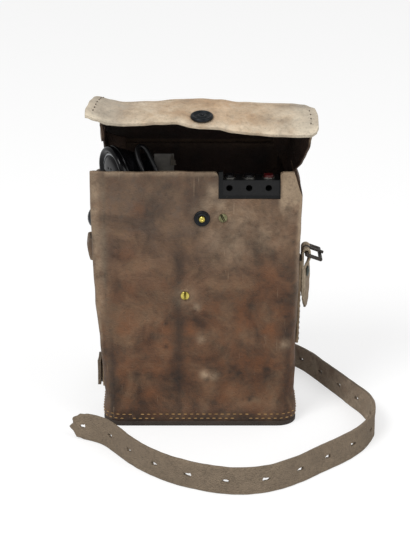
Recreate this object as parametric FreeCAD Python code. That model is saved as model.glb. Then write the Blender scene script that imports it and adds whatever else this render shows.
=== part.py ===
import FreeCAD, Part
import math
import os

# A field telephone in a leather carrying case, in millimetres. +Z is up, +X is to the right when facing
# the case, and the front is towards -Y. The origin is the centre of the base, where it stands.

V = FreeCAD.Vector
X_AXIS = V(1, 0, 0)
Y_AXIS = V(0, 1, 0)
Z_AXIS = V(0, 0, 1)

# Leather case: half width and half depth at the base, and the places of its corners at the rim.
BASE_HALF_WIDTH = 90.5
HALF_DEPTH = 34.0
RIM_Z = 255.0
RIM_LEFT_FRONT = -89.0
RIM_LEFT_REAR = -102.5
RIM_RIGHT = 95.5
LEATHER = 3.5
SOLE = 5.0
WELT_HEIGHT = 15.0
WELT_PROUD = 2.4
BASE_CORNER = 16.0
RIM_FRONT_CORNER = 6.5
RIM_REAR_CORNER = 14.0
BACK_RISE = 9.0
SHOULDER_WIDTH = 8.0
SHOULDER_DROP = 24.0
SEAM = 0.05

# The cut in the front wall for the line terminals.
NOTCH_LEFT = 17.4
NOTCH_WIDTH = 57.2
NOTCH_DEPTH = 26.0
NOTCH_FIT = 0.25

# Lid, drawn closed and then turned open about its leather hinge at the back.
LID_LEATHER = 3.0
LID_HALF_WIDTH = 99.0
LID_SHIFT = 2.5
LID_HINGE_Y = 35.5
LID_HINGE_Z = RIM_Z + BACK_RISE + 1.0
LID_CROWN = 18.0
LID_CROWN_Z = RIM_Z + LID_CROWN
LID_CROWN_Y = 4.0
LID_FRONT_GAP = 3.0
LID_OPEN = 50.5
FLAP_GAP = 4.6
FLAP_HEIGHT = 62.0
FLAP_BULGE = 5.0
FLAP_SPLAY = 29.0
FLAP_FLARE = 5.0

# Soft gores at the lid's ends, as y and the height above the rim with the lid open, and the slanting
# plane that each lies in.
GORE_THICK = 2.4
GORE_FRONT_Y = -38.0
GORE_BACK_Y = 26.0
GORE_UNDER_LID = ((27.0, 26.0), (10.0, 48.0), (-10.0, 63.0))
GORE_RIGHT_EDGE = ((-36.0, 41.0), (-35.0, 29.0), (-15.0, 5.0), (4.0, -15.0), (24.0, -15.0), (29.0, 7.0))
GORE_LEFT_EDGE = ((-34.0, 46.0), (-35.0, 35.0), (-24.0, 21.0), (20.0, 19.0))
GORE_RIGHT_XS = (98.4, 81.2)
GORE_LEFT_XS = (-92.0, -90.0)

# Press stud that keeps the lid shut: the cap and socket on the flap, the post on the front wall.
STUD_X = 2.2
STUD_DROP = 44.5
STUD_Z = RIM_Z - STUD_DROP
STUD_COLLAR_R = 7.5
STUD_COLLAR_THICK = 1.8
STUD_POST_R = 2.6
STUD_PROUD = 4.4
SNAP_FIT = 0.4
SNAP_SOCKET_R = 6.6
SNAP_CAP_R = 10.2
SNAP_CAP_THICK = 2.6

# Screws that hold the instrument in the leather, as x and z on the front.
CASE_SCREWS = ((21.6, RIM_Z - 44.0), (-13.8, 134.1))
SCREW_HEAD_R = 4.1
SCREW_SHANK_R = 1.8

# Instrument chassis of sheet metal, to the right of the handset's well.
SHEET = 1.5
CHASSIS_LEFT = -22.0
CHASSIS_RIGHT = 84.0
CHASSIS_ROOM = 0.3
CHASSIS_BACK_ROOM = 3.0
CHASSIS_BACK = HALF_DEPTH - LEATHER - CHASSIS_BACK_ROOM
CHASSIS_FRONT = -(HALF_DEPTH - LEATHER - CHASSIS_ROOM)
PANEL_TOP = RIM_Z - NOTCH_DEPTH
TAB_LEFT = -42.5
TAB_RIGHT = -24.0
TAB_TOP = RIM_Z + 6.5
TAB_Y = 3.0
TAB_FOOT = PANEL_TOP - 7.0

# Line terminals: a block with three wire sockets, and over each a spring button that a collar holds down.
SOCKET_XS = (27.5, 45.6, 63.6)
SOCKET_R = 3.0
SOCKET_DEPTH = 14.0
SOCKET_RISE = 10.5
SOCKET_Z = PANEL_TOP + SOCKET_RISE
BLOCK_SET_BACK = 1.0
BLOCK_FRONT = -(HALF_DEPTH - BLOCK_SET_BACK)
BLOCK_DEPTH = 19.0
BLOCK_HEIGHT = 15.0
BEZEL_POST = 4.0
BUTTON_IN = 10.0
BUTTON_R = 4.4
BUTTON_LIP = 0.6
BUTTON_LIP_THICK = 0.8
BUTTON_TRAVEL = 1.6
BUTTON_PROUD = 0.2
BUTTON_STEM_R = 1.8
COLLAR_WALL = 1.8
COLLAR_TALL = 1.0
RUNNING = 0.05

# Hand generator: crank and gear on one upright shaft, armature and pinion on the other.
GEAR_MODULE = 0.9
GEAR_TEETH = 40
PINION_TEETH = 10
GEAR_FACE = 4.0
GEAR_BACKLASH = 0.12
CRANK_X = 46.0
MAGNETO_Y = 5.0
CRANK_SHAFT_R = 3.0
CRANK_REACH = 14.0
CRANK_ARM_THICK = 2.5
CRANK_KNOB_R = 4.0
CRANK_KNOB_TALL = 10.0
CRANK_REST = 225.0
PLATE_HIGH_Z = PANEL_TOP - 32.0
PLATE_LOW_Z = PLATE_HIGH_Z - 51.0
PLATE_THICK = 3.0
ARMATURE_R = 10.5
ARMATURE_GAP = 0.4
ARMATURE_SHAFT_R = 2.5
MAGNET_COUNT = 3
MAGNET_THICK = 14.0
MAGNET_PITCH = 15.0
MAGNET_LEG = 6.0
POLE_WALL = 2.0

# Ringer: a gong on a post, two coils and a rocking armature with its hammer.
RINGER_Z = 104.0
GONG_X = 60.0
GONG_R = 21.0
GONG_WALL = 1.2
GONG_DEEP = 10.0
RINGER_PLATE_Y = 12.0
COIL_R = 6.5
COIL_LONG = 20.0
COIL_PITCH = 22.0
COIL_MID_X = 12.0
HAMMER_R = 2.6
HAMMER_GAP = 2.0

# Dry cells, condenser and induction coil at the foot of the chassis.
CELL_R = 16.5
CELL_TALL = 60.0
CELL_XS = (-2.0, 34.0)
CELL_Y = -5.0
INDUCTION_X = 69.5
INDUCTION_TALL = 46.0

# Handset, stood on end in the well at the left and leaning out at its top.
EAR_Y = -3.0
EAR_Z = 244.0
EAR_TUCK = 0.28
MOUTH_X_SHIFT = 17.0
CAP_SPACING = 172.0
EAR_R = 25.5
MOUTH_R = 24.0
CAP_TALL = 9.0
CAP_BORE_FIT = 0.1
FACING = 29.0
HOUSING_DEEP = 17.0
HANDLE_WIDE = 20.0
HANDLE_DEEP = 17.0
HANDLE_OFFSET = 27.0
TALK_BAR_LONG = 58.0
TALK_BAR_TRAVEL = 2.5
TALK_BAR_THICK = 4.0
REST_GAP = 0.3

# Leather straps and fittings on the sides.
SIDE_STRAP = 25.0
STRAP_THICK = 3.0
SIDE_LAYER = 2.6
LAYER_GAP = 0.3
BUCKLE_WIRE = 1.75
BUCKLE_WIDE = 31.0
BUCKLE_REACH = 14.0
BUCKLE_Z = 168.0
BUCKLE_DROP = 20.0
CHAPE_LONG = 62.0
CHAPE_WIDE = 21.0
DOME_R = 10.5
DOME_PROUD = 4.0

# Carrying strap: where its sewn end sits on the left side, and its way round on the floor. The points
# run from the back left corner, behind the case, round the right side and along the front.
STRAP_SEWN_Z = 46.0
STRAP_X = -97.0
STRAP_SEWN_FRONT = -13.0
STRAP_RAMP_START = 10.0
STRAP_RAMP_END = 68.0
STRAP_POINTS = ((-97, 92), (-78, 118), (-46, 134), (-6, 142), (36, 142), (76, 130), (104, 104), (120, 73),
                (135, 42), (151, 9), (163, -17), (168, -45), (159, -77), (138, -107), (110, -133), (83, -161),
                (51, -177), (18, -176), (-15, -162), (-45, -139), (-66, -112), (-82, -84), (-97, -67),
                (-125, -57))
STRAP_HOLE_LONG = 8.0
STRAP_HOLE_TALL = 4.0
STRAP_HOLE_PITCH = 36.5
STRAP_HOLES = 17
STRAP_FIRST_HOLE = 14.0

# Handset cord: it leaves the foot of the handset, rises beside the handle, turns over and goes down to
# its gland on the chassis.
CORD_R = 2.4
CORD_POINTS = ((-35, 14, 59.4), (-36, 13, 45), (-36, 9, 33), (-34, 0, 26), (-31, -11, 28), (-29, -19, 40),
               (-29, -22, 58), (-30, -22, 84), (-29, -22, 112), (-30, -21, 142), (-30, -21, 172),
               (-30, -18, 199), (-33, -11, 222), (-38, -6, 241), (-43, -3, 253), (-47, 0.5, 261),
               (-50, 3, 266.5), (-54.5, 4, 269.5), (-58, 0.5, 268), (-58, -6, 262), (-54, -10.5, 252),
               (-50.5, -11, 240), (-44, -10, 225), (-39.5, -10, 214), (-34.5, -9.5, 206.5), (-27, -9.5, 206.5))
GLAND_R = 4.2


def box(x0, x1, y0, y1, z0, z1):
    return Part.makeBox(x1 - x0, y1 - y0, z1 - z0, V(x0, y0, z0))


def rod(radius, start, axis, length):
    return Part.makeCylinder(radius, length, V(*start), axis)


def ring(outer, inner, start, axis, length):
    return rod(outer, start, axis, length).cut(rod(inner, start, axis, length))


def turn(shape, centre, axis, degrees):
    shape = shape.copy()
    shape.rotate(V(*centre), axis, degrees)
    return shape


def meet(p, d, q, e):
    # The crossing of two lines in the plan, each given by a point and a direction.
    cross = d[0] * e[1] - d[1] * e[0]
    along = ((q[0] - p[0]) * e[1] - (q[1] - p[1]) * e[0]) / cross
    return (p[0] + along * d[0], p[1] + along * d[1])


def grown(corners, grow):
    # The corners of an anticlockwise outline after each side has moved out by grow.
    sides = []
    for i, p in enumerate(corners):
        q = corners[(i + 1) % len(corners)]
        length = math.hypot(q[0] - p[0], q[1] - p[1])
        d = ((q[0] - p[0]) / length, (q[1] - p[1]) / length)
        sides.append(((p[0] + d[1] * grow, p[1] - d[0] * grow), d))
    return [meet(sides[i - 1][0], sides[i - 1][1], s[0], s[1]) for i, s in enumerate(sides)]


def rounded(corners, radii, z):
    # A closed wire with a tangent arc at each corner.
    count = len(corners)
    starts, mids, ends = [], [], []
    for i, p in enumerate(corners):
        a = V(*corners[i - 1], 0) - V(*p, 0)
        b = V(*corners[(i + 1) % count], 0) - V(*p, 0)
        a.normalize()
        b.normalize()
        half = a.getAngle(b) / 2
        back = radii[i] / math.tan(half)
        inward = a + b
        inward.normalize()
        corner = V(p[0], p[1], z)
        starts.append(corner + a * back)
        mids.append(corner + inward * (radii[i] / math.sin(half) - radii[i]))
        ends.append(corner + b * back)
    edges = []
    for i in range(count):
        edges.append(Part.Arc(starts[i], mids[i], ends[i]).toShape())
        edges.append(Part.LineSegment(ends[i], starts[(i + 1) % count]).toShape())
    return Part.Wire(edges)


def case_outline(grow, share):
    # Corners and radii of the case in plan, from the base (share 0) to the rim (share 1).
    base = [(-BASE_HALF_WIDTH, -HALF_DEPTH), (BASE_HALF_WIDTH, -HALF_DEPTH),
            (BASE_HALF_WIDTH, HALF_DEPTH), (-BASE_HALF_WIDTH, HALF_DEPTH)]
    rim = [(RIM_LEFT_FRONT, -HALF_DEPTH), (RIM_RIGHT, -HALF_DEPTH),
           (RIM_RIGHT, HALF_DEPTH), (RIM_LEFT_REAR, HALF_DEPTH)]
    rim_radii = [RIM_FRONT_CORNER, RIM_FRONT_CORNER, RIM_REAR_CORNER, RIM_REAR_CORNER]
    corners = [tuple(b + (r - b) * share for b, r in zip(p, q)) for p, q in zip(base, rim)]
    radii = [BASE_CORNER + (r - BASE_CORNER) * share + grow for r in rim_radii]
    return grown(corners, grow), radii


def case_solid(grow, z0, z1):
    wires = []
    for z in (z0, z1):
        corners, radii = case_outline(grow, (z - SOLE) / (RIM_Z - SOLE))
        wires.append(rounded(corners, radii, z))
    return Part.makeLoft(wires, True, True)


def on_left(grow, z, y=0.0):
    # The x of the case's left side, grown outwards, at a height and a depth.
    share = (z - SOLE) / (RIM_Z - SOLE)
    front = -BASE_HALF_WIDTH + (RIM_LEFT_FRONT + BASE_HALF_WIDTH) * share
    rear = -BASE_HALF_WIDTH + (RIM_LEFT_REAR + BASE_HALF_WIDTH) * share
    return front + (rear - front) * (y + HALF_DEPTH) / (2 * HALF_DEPTH) - grow


def on_right(grow, z):
    share = (z - SOLE) / (RIM_Z - SOLE)
    return BASE_HALF_WIDTH + (RIM_RIGHT - BASE_HALF_WIDTH) * share + grow


def back_window():
    # The stretch of the back wall between the wrap's two sewn edges.
    half = BASE_HALF_WIDTH - BASE_CORNER - 1.0
    return -half, half, HALF_DEPTH - LEATHER - 1.0


def case_wrap():
    body = case_solid(0.0, SOLE, RIM_Z).cut(case_solid(-LEATHER, SOLE - 1, RIM_Z + 1))
    left, right, inner = back_window()
    body = body.cut(box(left, right, inner, HALF_DEPTH + 5, 0, RIM_Z + 5))
    notch_right = NOTCH_LEFT + NOTCH_WIDTH
    notch_foot = RIM_Z - NOTCH_DEPTH
    body = body.cut(box(NOTCH_LEFT, notch_right, -HALF_DEPTH - 5, -HALF_DEPTH + 8, notch_foot, RIM_Z + 5))
    outer = RIM_RIGHT + 1
    ahead = -HALF_DEPTH - 5
    corner = V(outer, ahead, RIM_Z - SHOULDER_DROP)
    above = RIM_Z + 1
    inner = V(outer - SHOULDER_WIDTH - 1, ahead, above)
    wedge = Part.makePolygon([corner, V(outer, ahead, above), inner, corner])
    body = body.cut(Part.Face(wedge).extrude(V(0, 12, 0)))
    for x, z in CASE_SCREWS:
        body = body.cut(rod(SCREW_SHANK_R + 0.3, (x, -HALF_DEPTH - 5, z), Y_AXIS, 12))
    return body.cut(rod(STUD_POST_R + SEAM, (STUD_X, -HALF_DEPTH - 5, STUD_Z), Y_AXIS, 12))


def case_back():
    left, right, _ = back_window()
    wall = box(left + SEAM, right - SEAM, HALF_DEPTH - LEATHER, HALF_DEPTH, SOLE, RIM_Z + BACK_RISE)
    return wall


def case_base():
    corners, radii = case_outline(WELT_PROUD, 0)
    return Part.Face(rounded(corners, radii, 0)).extrude(V(0, 0, SOLE))


def base_welt():
    top = SOLE + WELT_HEIGHT
    return case_solid(WELT_PROUD, SOLE, top).cut(case_solid(SEAM, SOLE - 1, top + 1))


def hinge_strip():
    left, right, _ = back_window()
    return box(left, right, HALF_DEPTH + SEAM, HALF_DEPTH + SEAM + 2, RIM_Z - 25, RIM_Z + BACK_RISE - 3)


def arc_band(inside, outside, x0, x1):
    # A curved sheet: two three-point arcs in the side view, closed at the ends and drawn out along X.
    a = [V(x0, y, z) for y, z in inside]
    b = [V(x0, y, z) for y, z in outside]
    wire = Part.Wire([Part.Arc(a[0], a[1], a[2]).toShape(), Part.LineSegment(a[2], b[2]).toShape(),
                      Part.Arc(b[2], b[1], b[0]).toShape(), Part.LineSegment(b[0], a[0]).toShape()])
    return Part.Face(wire).extrude(V(x1 - x0, 0, 0))


def fold_axis():
    return (-HALF_DEPTH - FLAP_GAP, RIM_Z + LID_FRONT_GAP + 1.0)


def open_lid(shape):
    return turn(shape, (0, LID_HINGE_Y, LID_HINGE_Z), X_AXIS, -LID_OPEN)


def open_flap(shape):
    y, z = fold_axis()
    return open_lid(turn(shape, (0, y, z), X_AXIS, -FLAP_SPLAY))


def lid_top():
    front = -HALF_DEPTH - FLAP_GAP + 0.5
    under = RIM_Z + LID_FRONT_GAP
    rear = LID_HINGE_Y - 1.0
    inside = [(rear, LID_HINGE_Z + 0.4), (LID_CROWN_Y, LID_CROWN_Z), (front, under)]
    outside = [(y, z + LID_LEATHER) for y, z in inside]
    return open_lid(arc_band(inside, outside, LID_SHIFT - LID_HALF_WIDTH, LID_SHIFT + LID_HALF_WIDTH))


def flap_front():
    y, z = fold_axis()
    return [(y, z - 0.2), (y - FLAP_BULGE, z - FLAP_HEIGHT * 0.45),
            (y, z - FLAP_HEIGHT)]


def flap_inner_y(z):
    # Where the closed flap's inner face lies at a height, on the arc through its three points.
    top, mid, low = flap_front()
    edge = Part.Arc(V(0, *top), V(0, *mid), V(0, *low)).toShape()
    level = Part.LineSegment(V(0, top[0] - 20, z), V(0, top[0] + 20, z)).toShape()
    return edge.distToShape(level)[1][0][0].y


def lid_front_flap():
    inside = flap_front()
    outside = [(y - LID_LEATHER, z) for y, z in inside]
    left = LID_SHIFT - LID_HALF_WIDTH
    right = LID_SHIFT + LID_HALF_WIDTH
    flap = arc_band(inside, outside, left - FLAP_FLARE, right + FLAP_FLARE)
    y, z = fold_axis()
    for x, way in ((left, -1), (right, 1)):
        flared = x + way * FLAP_FLARE
        beyond = x + way * (FLAP_FLARE + 9)
        foot = z - FLAP_HEIGHT - 1
        ahead = y - 20
        points = [V(x, ahead, z + 1), V(flared, ahead, foot), V(beyond, ahead, foot), V(beyond, ahead, z + 1)]
        flap = flap.cut(Part.Face(Part.makePolygon(points + points[:1])).extrude(V(0, 40, 0)))
    inner = flap_inner_y(STUD_Z)
    flap = flap.cut(rod(SNAP_SOCKET_R - 3.5, (STUD_X, y - 20, STUD_Z), Y_AXIS, 40))
    flap = flap.cut(rod(SNAP_SOCKET_R + SEAM, (STUD_X, inner, STUD_Z), Y_AXIS, 9))
    flap = flap.cut(rod(SNAP_CAP_R + SEAM, (STUD_X, inner - LID_LEATHER, STUD_Z), V(0, -1, 0), 9))
    return open_flap(flap)


def snap_socket():
    face = flap_inner_y(STUD_Z)
    start = -HALF_DEPTH - STUD_COLLAR_THICK - SNAP_FIT
    body = ring(SNAP_SOCKET_R, STUD_POST_R + SNAP_FIT, (STUD_X, start, STUD_Z), V(0, -1, 0), start - face)
    return open_flap(body)


def snap_cap():
    face = flap_inner_y(STUD_Z) - LID_LEATHER
    cap = rod(SNAP_CAP_R, (STUD_X, face, STUD_Z), V(0, -1, 0), SNAP_CAP_THICK)
    groove = (STUD_X, face - SNAP_CAP_THICK + 0.8, STUD_Z)
    cap = cap.cut(ring(SNAP_CAP_R - 1.8, SNAP_CAP_R - 4.0, groove, V(0, -1, 0), 5))
    shank = ring(SNAP_SOCKET_R - 3.6, 1.2, (STUD_X, face + 0.1, STUD_Z), Y_AXIS, LID_LEATHER - 0.2)
    cap = cap.cut(rod(1.2, (STUD_X, face + 1, STUD_Z), V(0, -1, 0), 8))
    return open_flap(cap.fuse(shank))


def gusset(edge, xs):
    # A soft gore between the lid's end and the case, in the slanting plane through the two xs.
    points = GORE_UNDER_LID + edge
    wire = Part.makePolygon([V(0, y, RIM_Z + up) for y, up in points + points[:1]])
    sheet = Part.Face(wire).extrude(V(GORE_THICK, 0, 0))
    angle = math.degrees(math.atan2(xs[0] - xs[1], GORE_BACK_Y - GORE_FRONT_Y))
    sheet = turn(sheet, (0, GORE_FRONT_Y, 0), Z_AXIS, angle)
    sheet.translate(V(xs[0] - GORE_THICK / 2, 0, 0))
    well = case_solid(-LEATHER - LAYER_GAP, SOLE - 1, RIM_Z + 1)
    wall = case_solid(LAYER_GAP, SOLE, RIM_Z + LAYER_GAP).cut(well)
    return sheet.cut(wall).cut(lid_cutter())


def lid_cutter():
    # The space of the open lid's top and all behind it, so that a gore stops under it.
    front = -HALF_DEPTH - FLAP_GAP - 8
    under = RIM_Z + LID_FRONT_GAP
    rear = LID_HINGE_Y - 1.0
    edge = -HALF_DEPTH - FLAP_GAP + 1.2
    inside = [(rear, LID_HINGE_Z + 0.2), (LID_CROWN_Y, LID_CROWN_Z - 0.3), (edge, under - 0.3)]
    outside = [(y, z + 40) for y, z in inside]
    body = arc_band(inside, outside, -150, 150)
    body = body.fuse(box(-150, 150, front - 40, edge, under - 1.5, under + 40))
    return open_lid(body)


def stud_collar():
    y = -HALF_DEPTH
    body = ring(STUD_COLLAR_R, STUD_POST_R + SEAM, (STUD_X, y, STUD_Z), V(0, -1, 0), STUD_COLLAR_THICK)
    groove = (STUD_X, y - STUD_COLLAR_THICK + 0.6, STUD_Z)
    return body.cut(ring(STUD_COLLAR_R - 1.6, STUD_COLLAR_R - 3.0, groove, V(0, -1, 0), 3))


def stud_post():
    length = STUD_PROUD + LEATHER + 1.0
    post = rod(STUD_POST_R, (STUD_X, -HALF_DEPTH + LEATHER + 1.0, STUD_Z), V(0, -1, 0), length)
    foot = rod(STUD_POST_R + 3, (STUD_X, -HALF_DEPTH + LEATHER + 1.0, STUD_Z), V(0, -1, 0), 1.0)
    dimple = rod(0.7, (STUD_X, -HALF_DEPTH - STUD_PROUD + 0.6, STUD_Z), V(0, -1, 0), 2)
    return post.fuse(foot).cut(dimple)


def case_screws():
    group = []
    for x, z in CASE_SCREWS:
        head = rod(SCREW_HEAD_R, (x, -HALF_DEPTH, z), V(0, -1, 0), 1.8)
        slot = box(x - 0.5, x + 0.5, -HALF_DEPTH - 3, -HALF_DEPTH - 1.0, z - 6, z + 6)
        shank = rod(SCREW_SHANK_R, (x, -HALF_DEPTH, z), Y_AXIS, CHASSIS_FRONT + HALF_DEPTH + SHEET + 2)
        group.append(head.cut(slot).fuse(shank))
    return Part.makeCompound(group)


def chassis_frame():
    floor = box(CHASSIS_LEFT, CHASSIS_RIGHT, CHASSIS_FRONT + 4, CHASSIS_BACK, SOLE, SOLE + SHEET)
    back = box(CHASSIS_LEFT, CHASSIS_RIGHT, CHASSIS_BACK - SHEET, CHASSIS_BACK, SOLE, PANEL_TOP - SHEET)
    side = box(CHASSIS_RIGHT - SHEET, CHASSIS_RIGHT, -12, CHASSIS_BACK, SOLE, PANEL_TOP - SHEET)
    return floor.fuse([back, side]).common(case_solid(-LEATHER - LAYER_GAP, SOLE, RIM_Z))


def partition_plate():
    wall = box(CHASSIS_LEFT, CHASSIS_LEFT + SHEET, CHASSIS_FRONT + SHEET, CHASSIS_BACK - SHEET - SEAM,
               SOLE + SHEET, PANEL_TOP + 6)
    tab = box(TAB_LEFT, CHASSIS_LEFT, TAB_Y, TAB_Y + SHEET, TAB_FOOT, TAB_TOP)
    tab = tab.cut(box(TAB_RIGHT, CHASSIS_LEFT, -5, 9, PANEL_TOP + 8, TAB_TOP + 5))
    return wall.fuse([tab, front_leaf()])


def front_leaf():
    # The leaf turned along the front of the case, which takes the screws.
    plate = box(CHASSIS_LEFT, 30.0, CHASSIS_FRONT, CHASSIS_FRONT + SHEET, SOLE + SHEET, PANEL_TOP - SHEET - 4)
    for x, z in CASE_SCREWS:
        plate = plate.cut(rod(SCREW_SHANK_R + SEAM, (x, CHASSIS_FRONT - 1, z), Y_AXIS, 5))
    return plate.cut(rod(STUD_POST_R + 4, (STUD_X, CHASSIS_FRONT - 1, STUD_Z), Y_AXIS, 5))


def top_panel():
    panel = box(CHASSIS_LEFT + SHEET, CHASSIS_RIGHT, BLOCK_FRONT + BLOCK_DEPTH + 0.2, CHASSIS_BACK,
                PANEL_TOP - SHEET, PANEL_TOP)
    return panel.cut(rod(CRANK_SHAFT_R + RUNNING, (CRANK_X, MAGNETO_Y, PANEL_TOP - 5), Z_AXIS, 10))


def block_z():
    return SOCKET_Z - BLOCK_HEIGHT / 2


def block_top():
    return block_z() + BLOCK_HEIGHT


def button_y():
    return BLOCK_FRONT + BUTTON_IN


def block_sides():
    left = NOTCH_LEFT + NOTCH_FIT + BEZEL_POST
    return left, NOTCH_LEFT + NOTCH_WIDTH - NOTCH_FIT - 1.0


def terminal_bezel():
    left = NOTCH_LEFT + NOTCH_FIT
    right = NOTCH_LEFT + NOTCH_WIDTH - NOTCH_FIT
    foot = RIM_Z - NOTCH_DEPTH + NOTCH_FIT
    ledge = box(left, right, BLOCK_FRONT - 0.3, BLOCK_FRONT + BLOCK_DEPTH, foot, block_z() - SEAM)
    post = box(left, left + BEZEL_POST - SEAM, BLOCK_FRONT - 0.3, BLOCK_FRONT + 5, foot, RIM_Z)
    lip = box(right - 0.9, right, BLOCK_FRONT - 0.3, BLOCK_FRONT + 5, foot, block_top())
    return ledge.fuse([post, lip])


def terminal_block():
    left, right = block_sides()
    block = box(left, right, BLOCK_FRONT, BLOCK_FRONT + BLOCK_DEPTH, block_z(), block_top())
    for x in SOCKET_XS:
        block = block.cut(rod(SOCKET_R, (x, BLOCK_FRONT - 1, SOCKET_Z), Y_AXIS, SOCKET_DEPTH + 1))
        block = block.cut(rod(BUTTON_STEM_R + RUNNING, (x, button_y(), SOCKET_Z), Z_AXIS, BLOCK_HEIGHT))
        well = (x, button_y(), block_top() - BUTTON_LIP_THICK - BUTTON_TRAVEL - 0.3)
        block = block.cut(rod(BUTTON_R + BUTTON_LIP + RUNNING, well, Z_AXIS, BLOCK_HEIGHT))
    return block


def terminal_contacts():
    group = []
    for x in SOCKET_XS:
        start = (x, BLOCK_FRONT + BLOCK_DEPTH - 4.5, SOCKET_Z)
        group.append(rod(SOCKET_R - 0.8, start, Y_AXIS, 4.0))
        group[-1] = group[-1].fuse(rod(1.5, start, Y_AXIS, 4.3))
    return Part.makeCompound(group)


def contact_holes(shape):
    for x in SOCKET_XS:
        shape = shape.cut(rod(SOCKET_R - 0.8 + SEAM, (x, BLOCK_FRONT + SOCKET_DEPTH - 1, SOCKET_Z), Y_AXIS, 20))
    return shape


def button_collars():
    bore = BUTTON_R + RUNNING
    rings = [ring(bore + COLLAR_WALL, bore, (x, button_y(), block_top()), Z_AXIS, COLLAR_TALL) for x in SOCKET_XS]
    return Part.makeCompound(rings)


def line_button(x):
    # A cap with a lip that the collar keeps in, and a stem down towards its wire socket.
    low = block_top() - SEAM - BUTTON_LIP_THICK
    high = block_top() + COLLAR_TALL + BUTTON_TRAVEL + BUTTON_PROUD
    foot = SOCKET_Z + SOCKET_R + BUTTON_TRAVEL + 0.1
    cap = rod(BUTTON_R, (x, button_y(), low), Z_AXIS, high - low)
    lip = rod(BUTTON_R + BUTTON_LIP, (x, button_y(), low), Z_AXIS, BUTTON_LIP_THICK)
    return cap.fuse([lip, rod(BUTTON_STEM_R, (x, button_y(), foot), Z_AXIS, low - foot + 1)])


def gear_distance():
    return GEAR_MODULE * (GEAR_TEETH + PINION_TEETH) / 2 + GEAR_BACKLASH


def armature_x():
    return CRANK_X - gear_distance()


def gear(teeth, bore, x, y, z, height, start):
    # A spur gear with straight-flanked teeth; start is the angle of the middle of its first tooth.
    pitch = GEAR_MODULE * teeth / 2
    root = pitch - 1.2 * GEAR_MODULE
    tip = pitch + 0.9 * GEAR_MODULE
    step = 2 * math.pi / teeth
    points = []
    for i in range(teeth):
        middle = math.radians(start) + i * step
        for share, radius in ((-0.36, root), (-0.10, tip), (0.10, tip), (0.36, root)):
            angle = middle + share * step
            points.append(V(x + radius * math.cos(angle), y + radius * math.sin(angle), z))
    body = Part.Face(Part.makePolygon(points + points[:1])).extrude(V(0, 0, height))
    return body.cut(rod(bore, (x, y, z - 1), Z_AXIS, height + 2))


def gear_z():
    return PLATE_HIGH_Z + PLATE_THICK + 4.0


def crank_gear():
    return gear(GEAR_TEETH, CRANK_SHAFT_R, CRANK_X, MAGNETO_Y, gear_z(), GEAR_FACE, 180.0)


def pinion():
    half_tooth = 180.0 / PINION_TEETH
    foot = gear_z() - 0.5
    return gear(PINION_TEETH, ARMATURE_SHAFT_R, armature_x(), MAGNETO_Y, foot, GEAR_FACE + 1, half_tooth)


def crank_shaft():
    foot = PLATE_HIGH_Z - 6
    return rod(CRANK_SHAFT_R, (CRANK_X, MAGNETO_Y, foot), Z_AXIS, PANEL_TOP + 1 + CRANK_ARM_THICK - foot)


def crank_point(reach):
    angle = math.radians(CRANK_REST)
    return CRANK_X + reach * math.cos(angle), MAGNETO_Y + reach * math.sin(angle)


def crank_arm():
    z = PANEL_TOP + 1.0
    bar = box(CRANK_X, CRANK_X + CRANK_REACH, MAGNETO_Y - 3.5, MAGNETO_Y + 3.5, z, z + CRANK_ARM_THICK)
    bar = bar.fuse([rod(5.5, (CRANK_X, MAGNETO_Y, z), Z_AXIS, CRANK_ARM_THICK),
                    rod(3.5, (CRANK_X + CRANK_REACH, MAGNETO_Y, z), Z_AXIS, CRANK_ARM_THICK)])
    bar = bar.cut(rod(CRANK_SHAFT_R, (CRANK_X, MAGNETO_Y, z - 1), Z_AXIS, 6))
    pin_x = CRANK_X + CRANK_REACH
    bar = bar.fuse(rod(1.5, (pin_x, MAGNETO_Y, z), Z_AXIS, CRANK_ARM_THICK + CRANK_KNOB_TALL + 0.5))
    bar = bar.fuse(rod(2.4, (pin_x, MAGNETO_Y, z + CRANK_ARM_THICK + CRANK_KNOB_TALL + 0.5), Z_AXIS, 0.8))
    return turn(bar, (CRANK_X, MAGNETO_Y, 0), Z_AXIS, CRANK_REST)


def crank_knob():
    x, y = crank_point(CRANK_REACH)
    z = PANEL_TOP + 1.0 + CRANK_ARM_THICK + 0.2
    return ring(CRANK_KNOB_R, 1.5 + RUNNING, (x, y, z), Z_AXIS, CRANK_KNOB_TALL)


def magneto_plates():
    left = CHASSIS_LEFT + SHEET + SEAM
    right = CRANK_X + 10
    group = []
    for z in (PLATE_LOW_Z, PLATE_HIGH_Z):
        plate = box(left, right, MAGNETO_Y - 19, CHASSIS_BACK - SHEET - SEAM, z, z + PLATE_THICK)
        plate = plate.cut(rod(ARMATURE_SHAFT_R + RUNNING, (armature_x(), MAGNETO_Y, z - 1), Z_AXIS, 9))
        plate = plate.cut(rod(CRANK_SHAFT_R + RUNNING, (CRANK_X, MAGNETO_Y, z - 1), Z_AXIS, 9))
        group.append(plate)
    return Part.makeCompound(group)


def magnet_z():
    return PLATE_LOW_Z + PLATE_THICK + 2.0


def horseshoe(bend_x, right, half, z):
    bend = rod(half, (bend_x, MAGNETO_Y, z), Z_AXIS, MAGNET_THICK)
    return bend.fuse(box(bend_x, right, MAGNETO_Y - half, MAGNETO_Y + half, z, z + MAGNET_THICK))


def magnets():
    half = ARMATURE_R + ARMATURE_GAP + POLE_WALL + SEAM
    bend_x = CHASSIS_LEFT + SHEET + half + MAGNET_LEG + 1.0
    right = armature_x() + 12
    group = []
    for i in range(MAGNET_COUNT):
        z = magnet_z() + i * MAGNET_PITCH
        outer = horseshoe(bend_x, right, half + MAGNET_LEG, z)
        group.append(outer.cut(horseshoe(bend_x, right + 1, half, z)))
    return Part.makeCompound(group)


def pole_height():
    return (MAGNET_COUNT - 1) * MAGNET_PITCH + MAGNET_THICK


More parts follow.
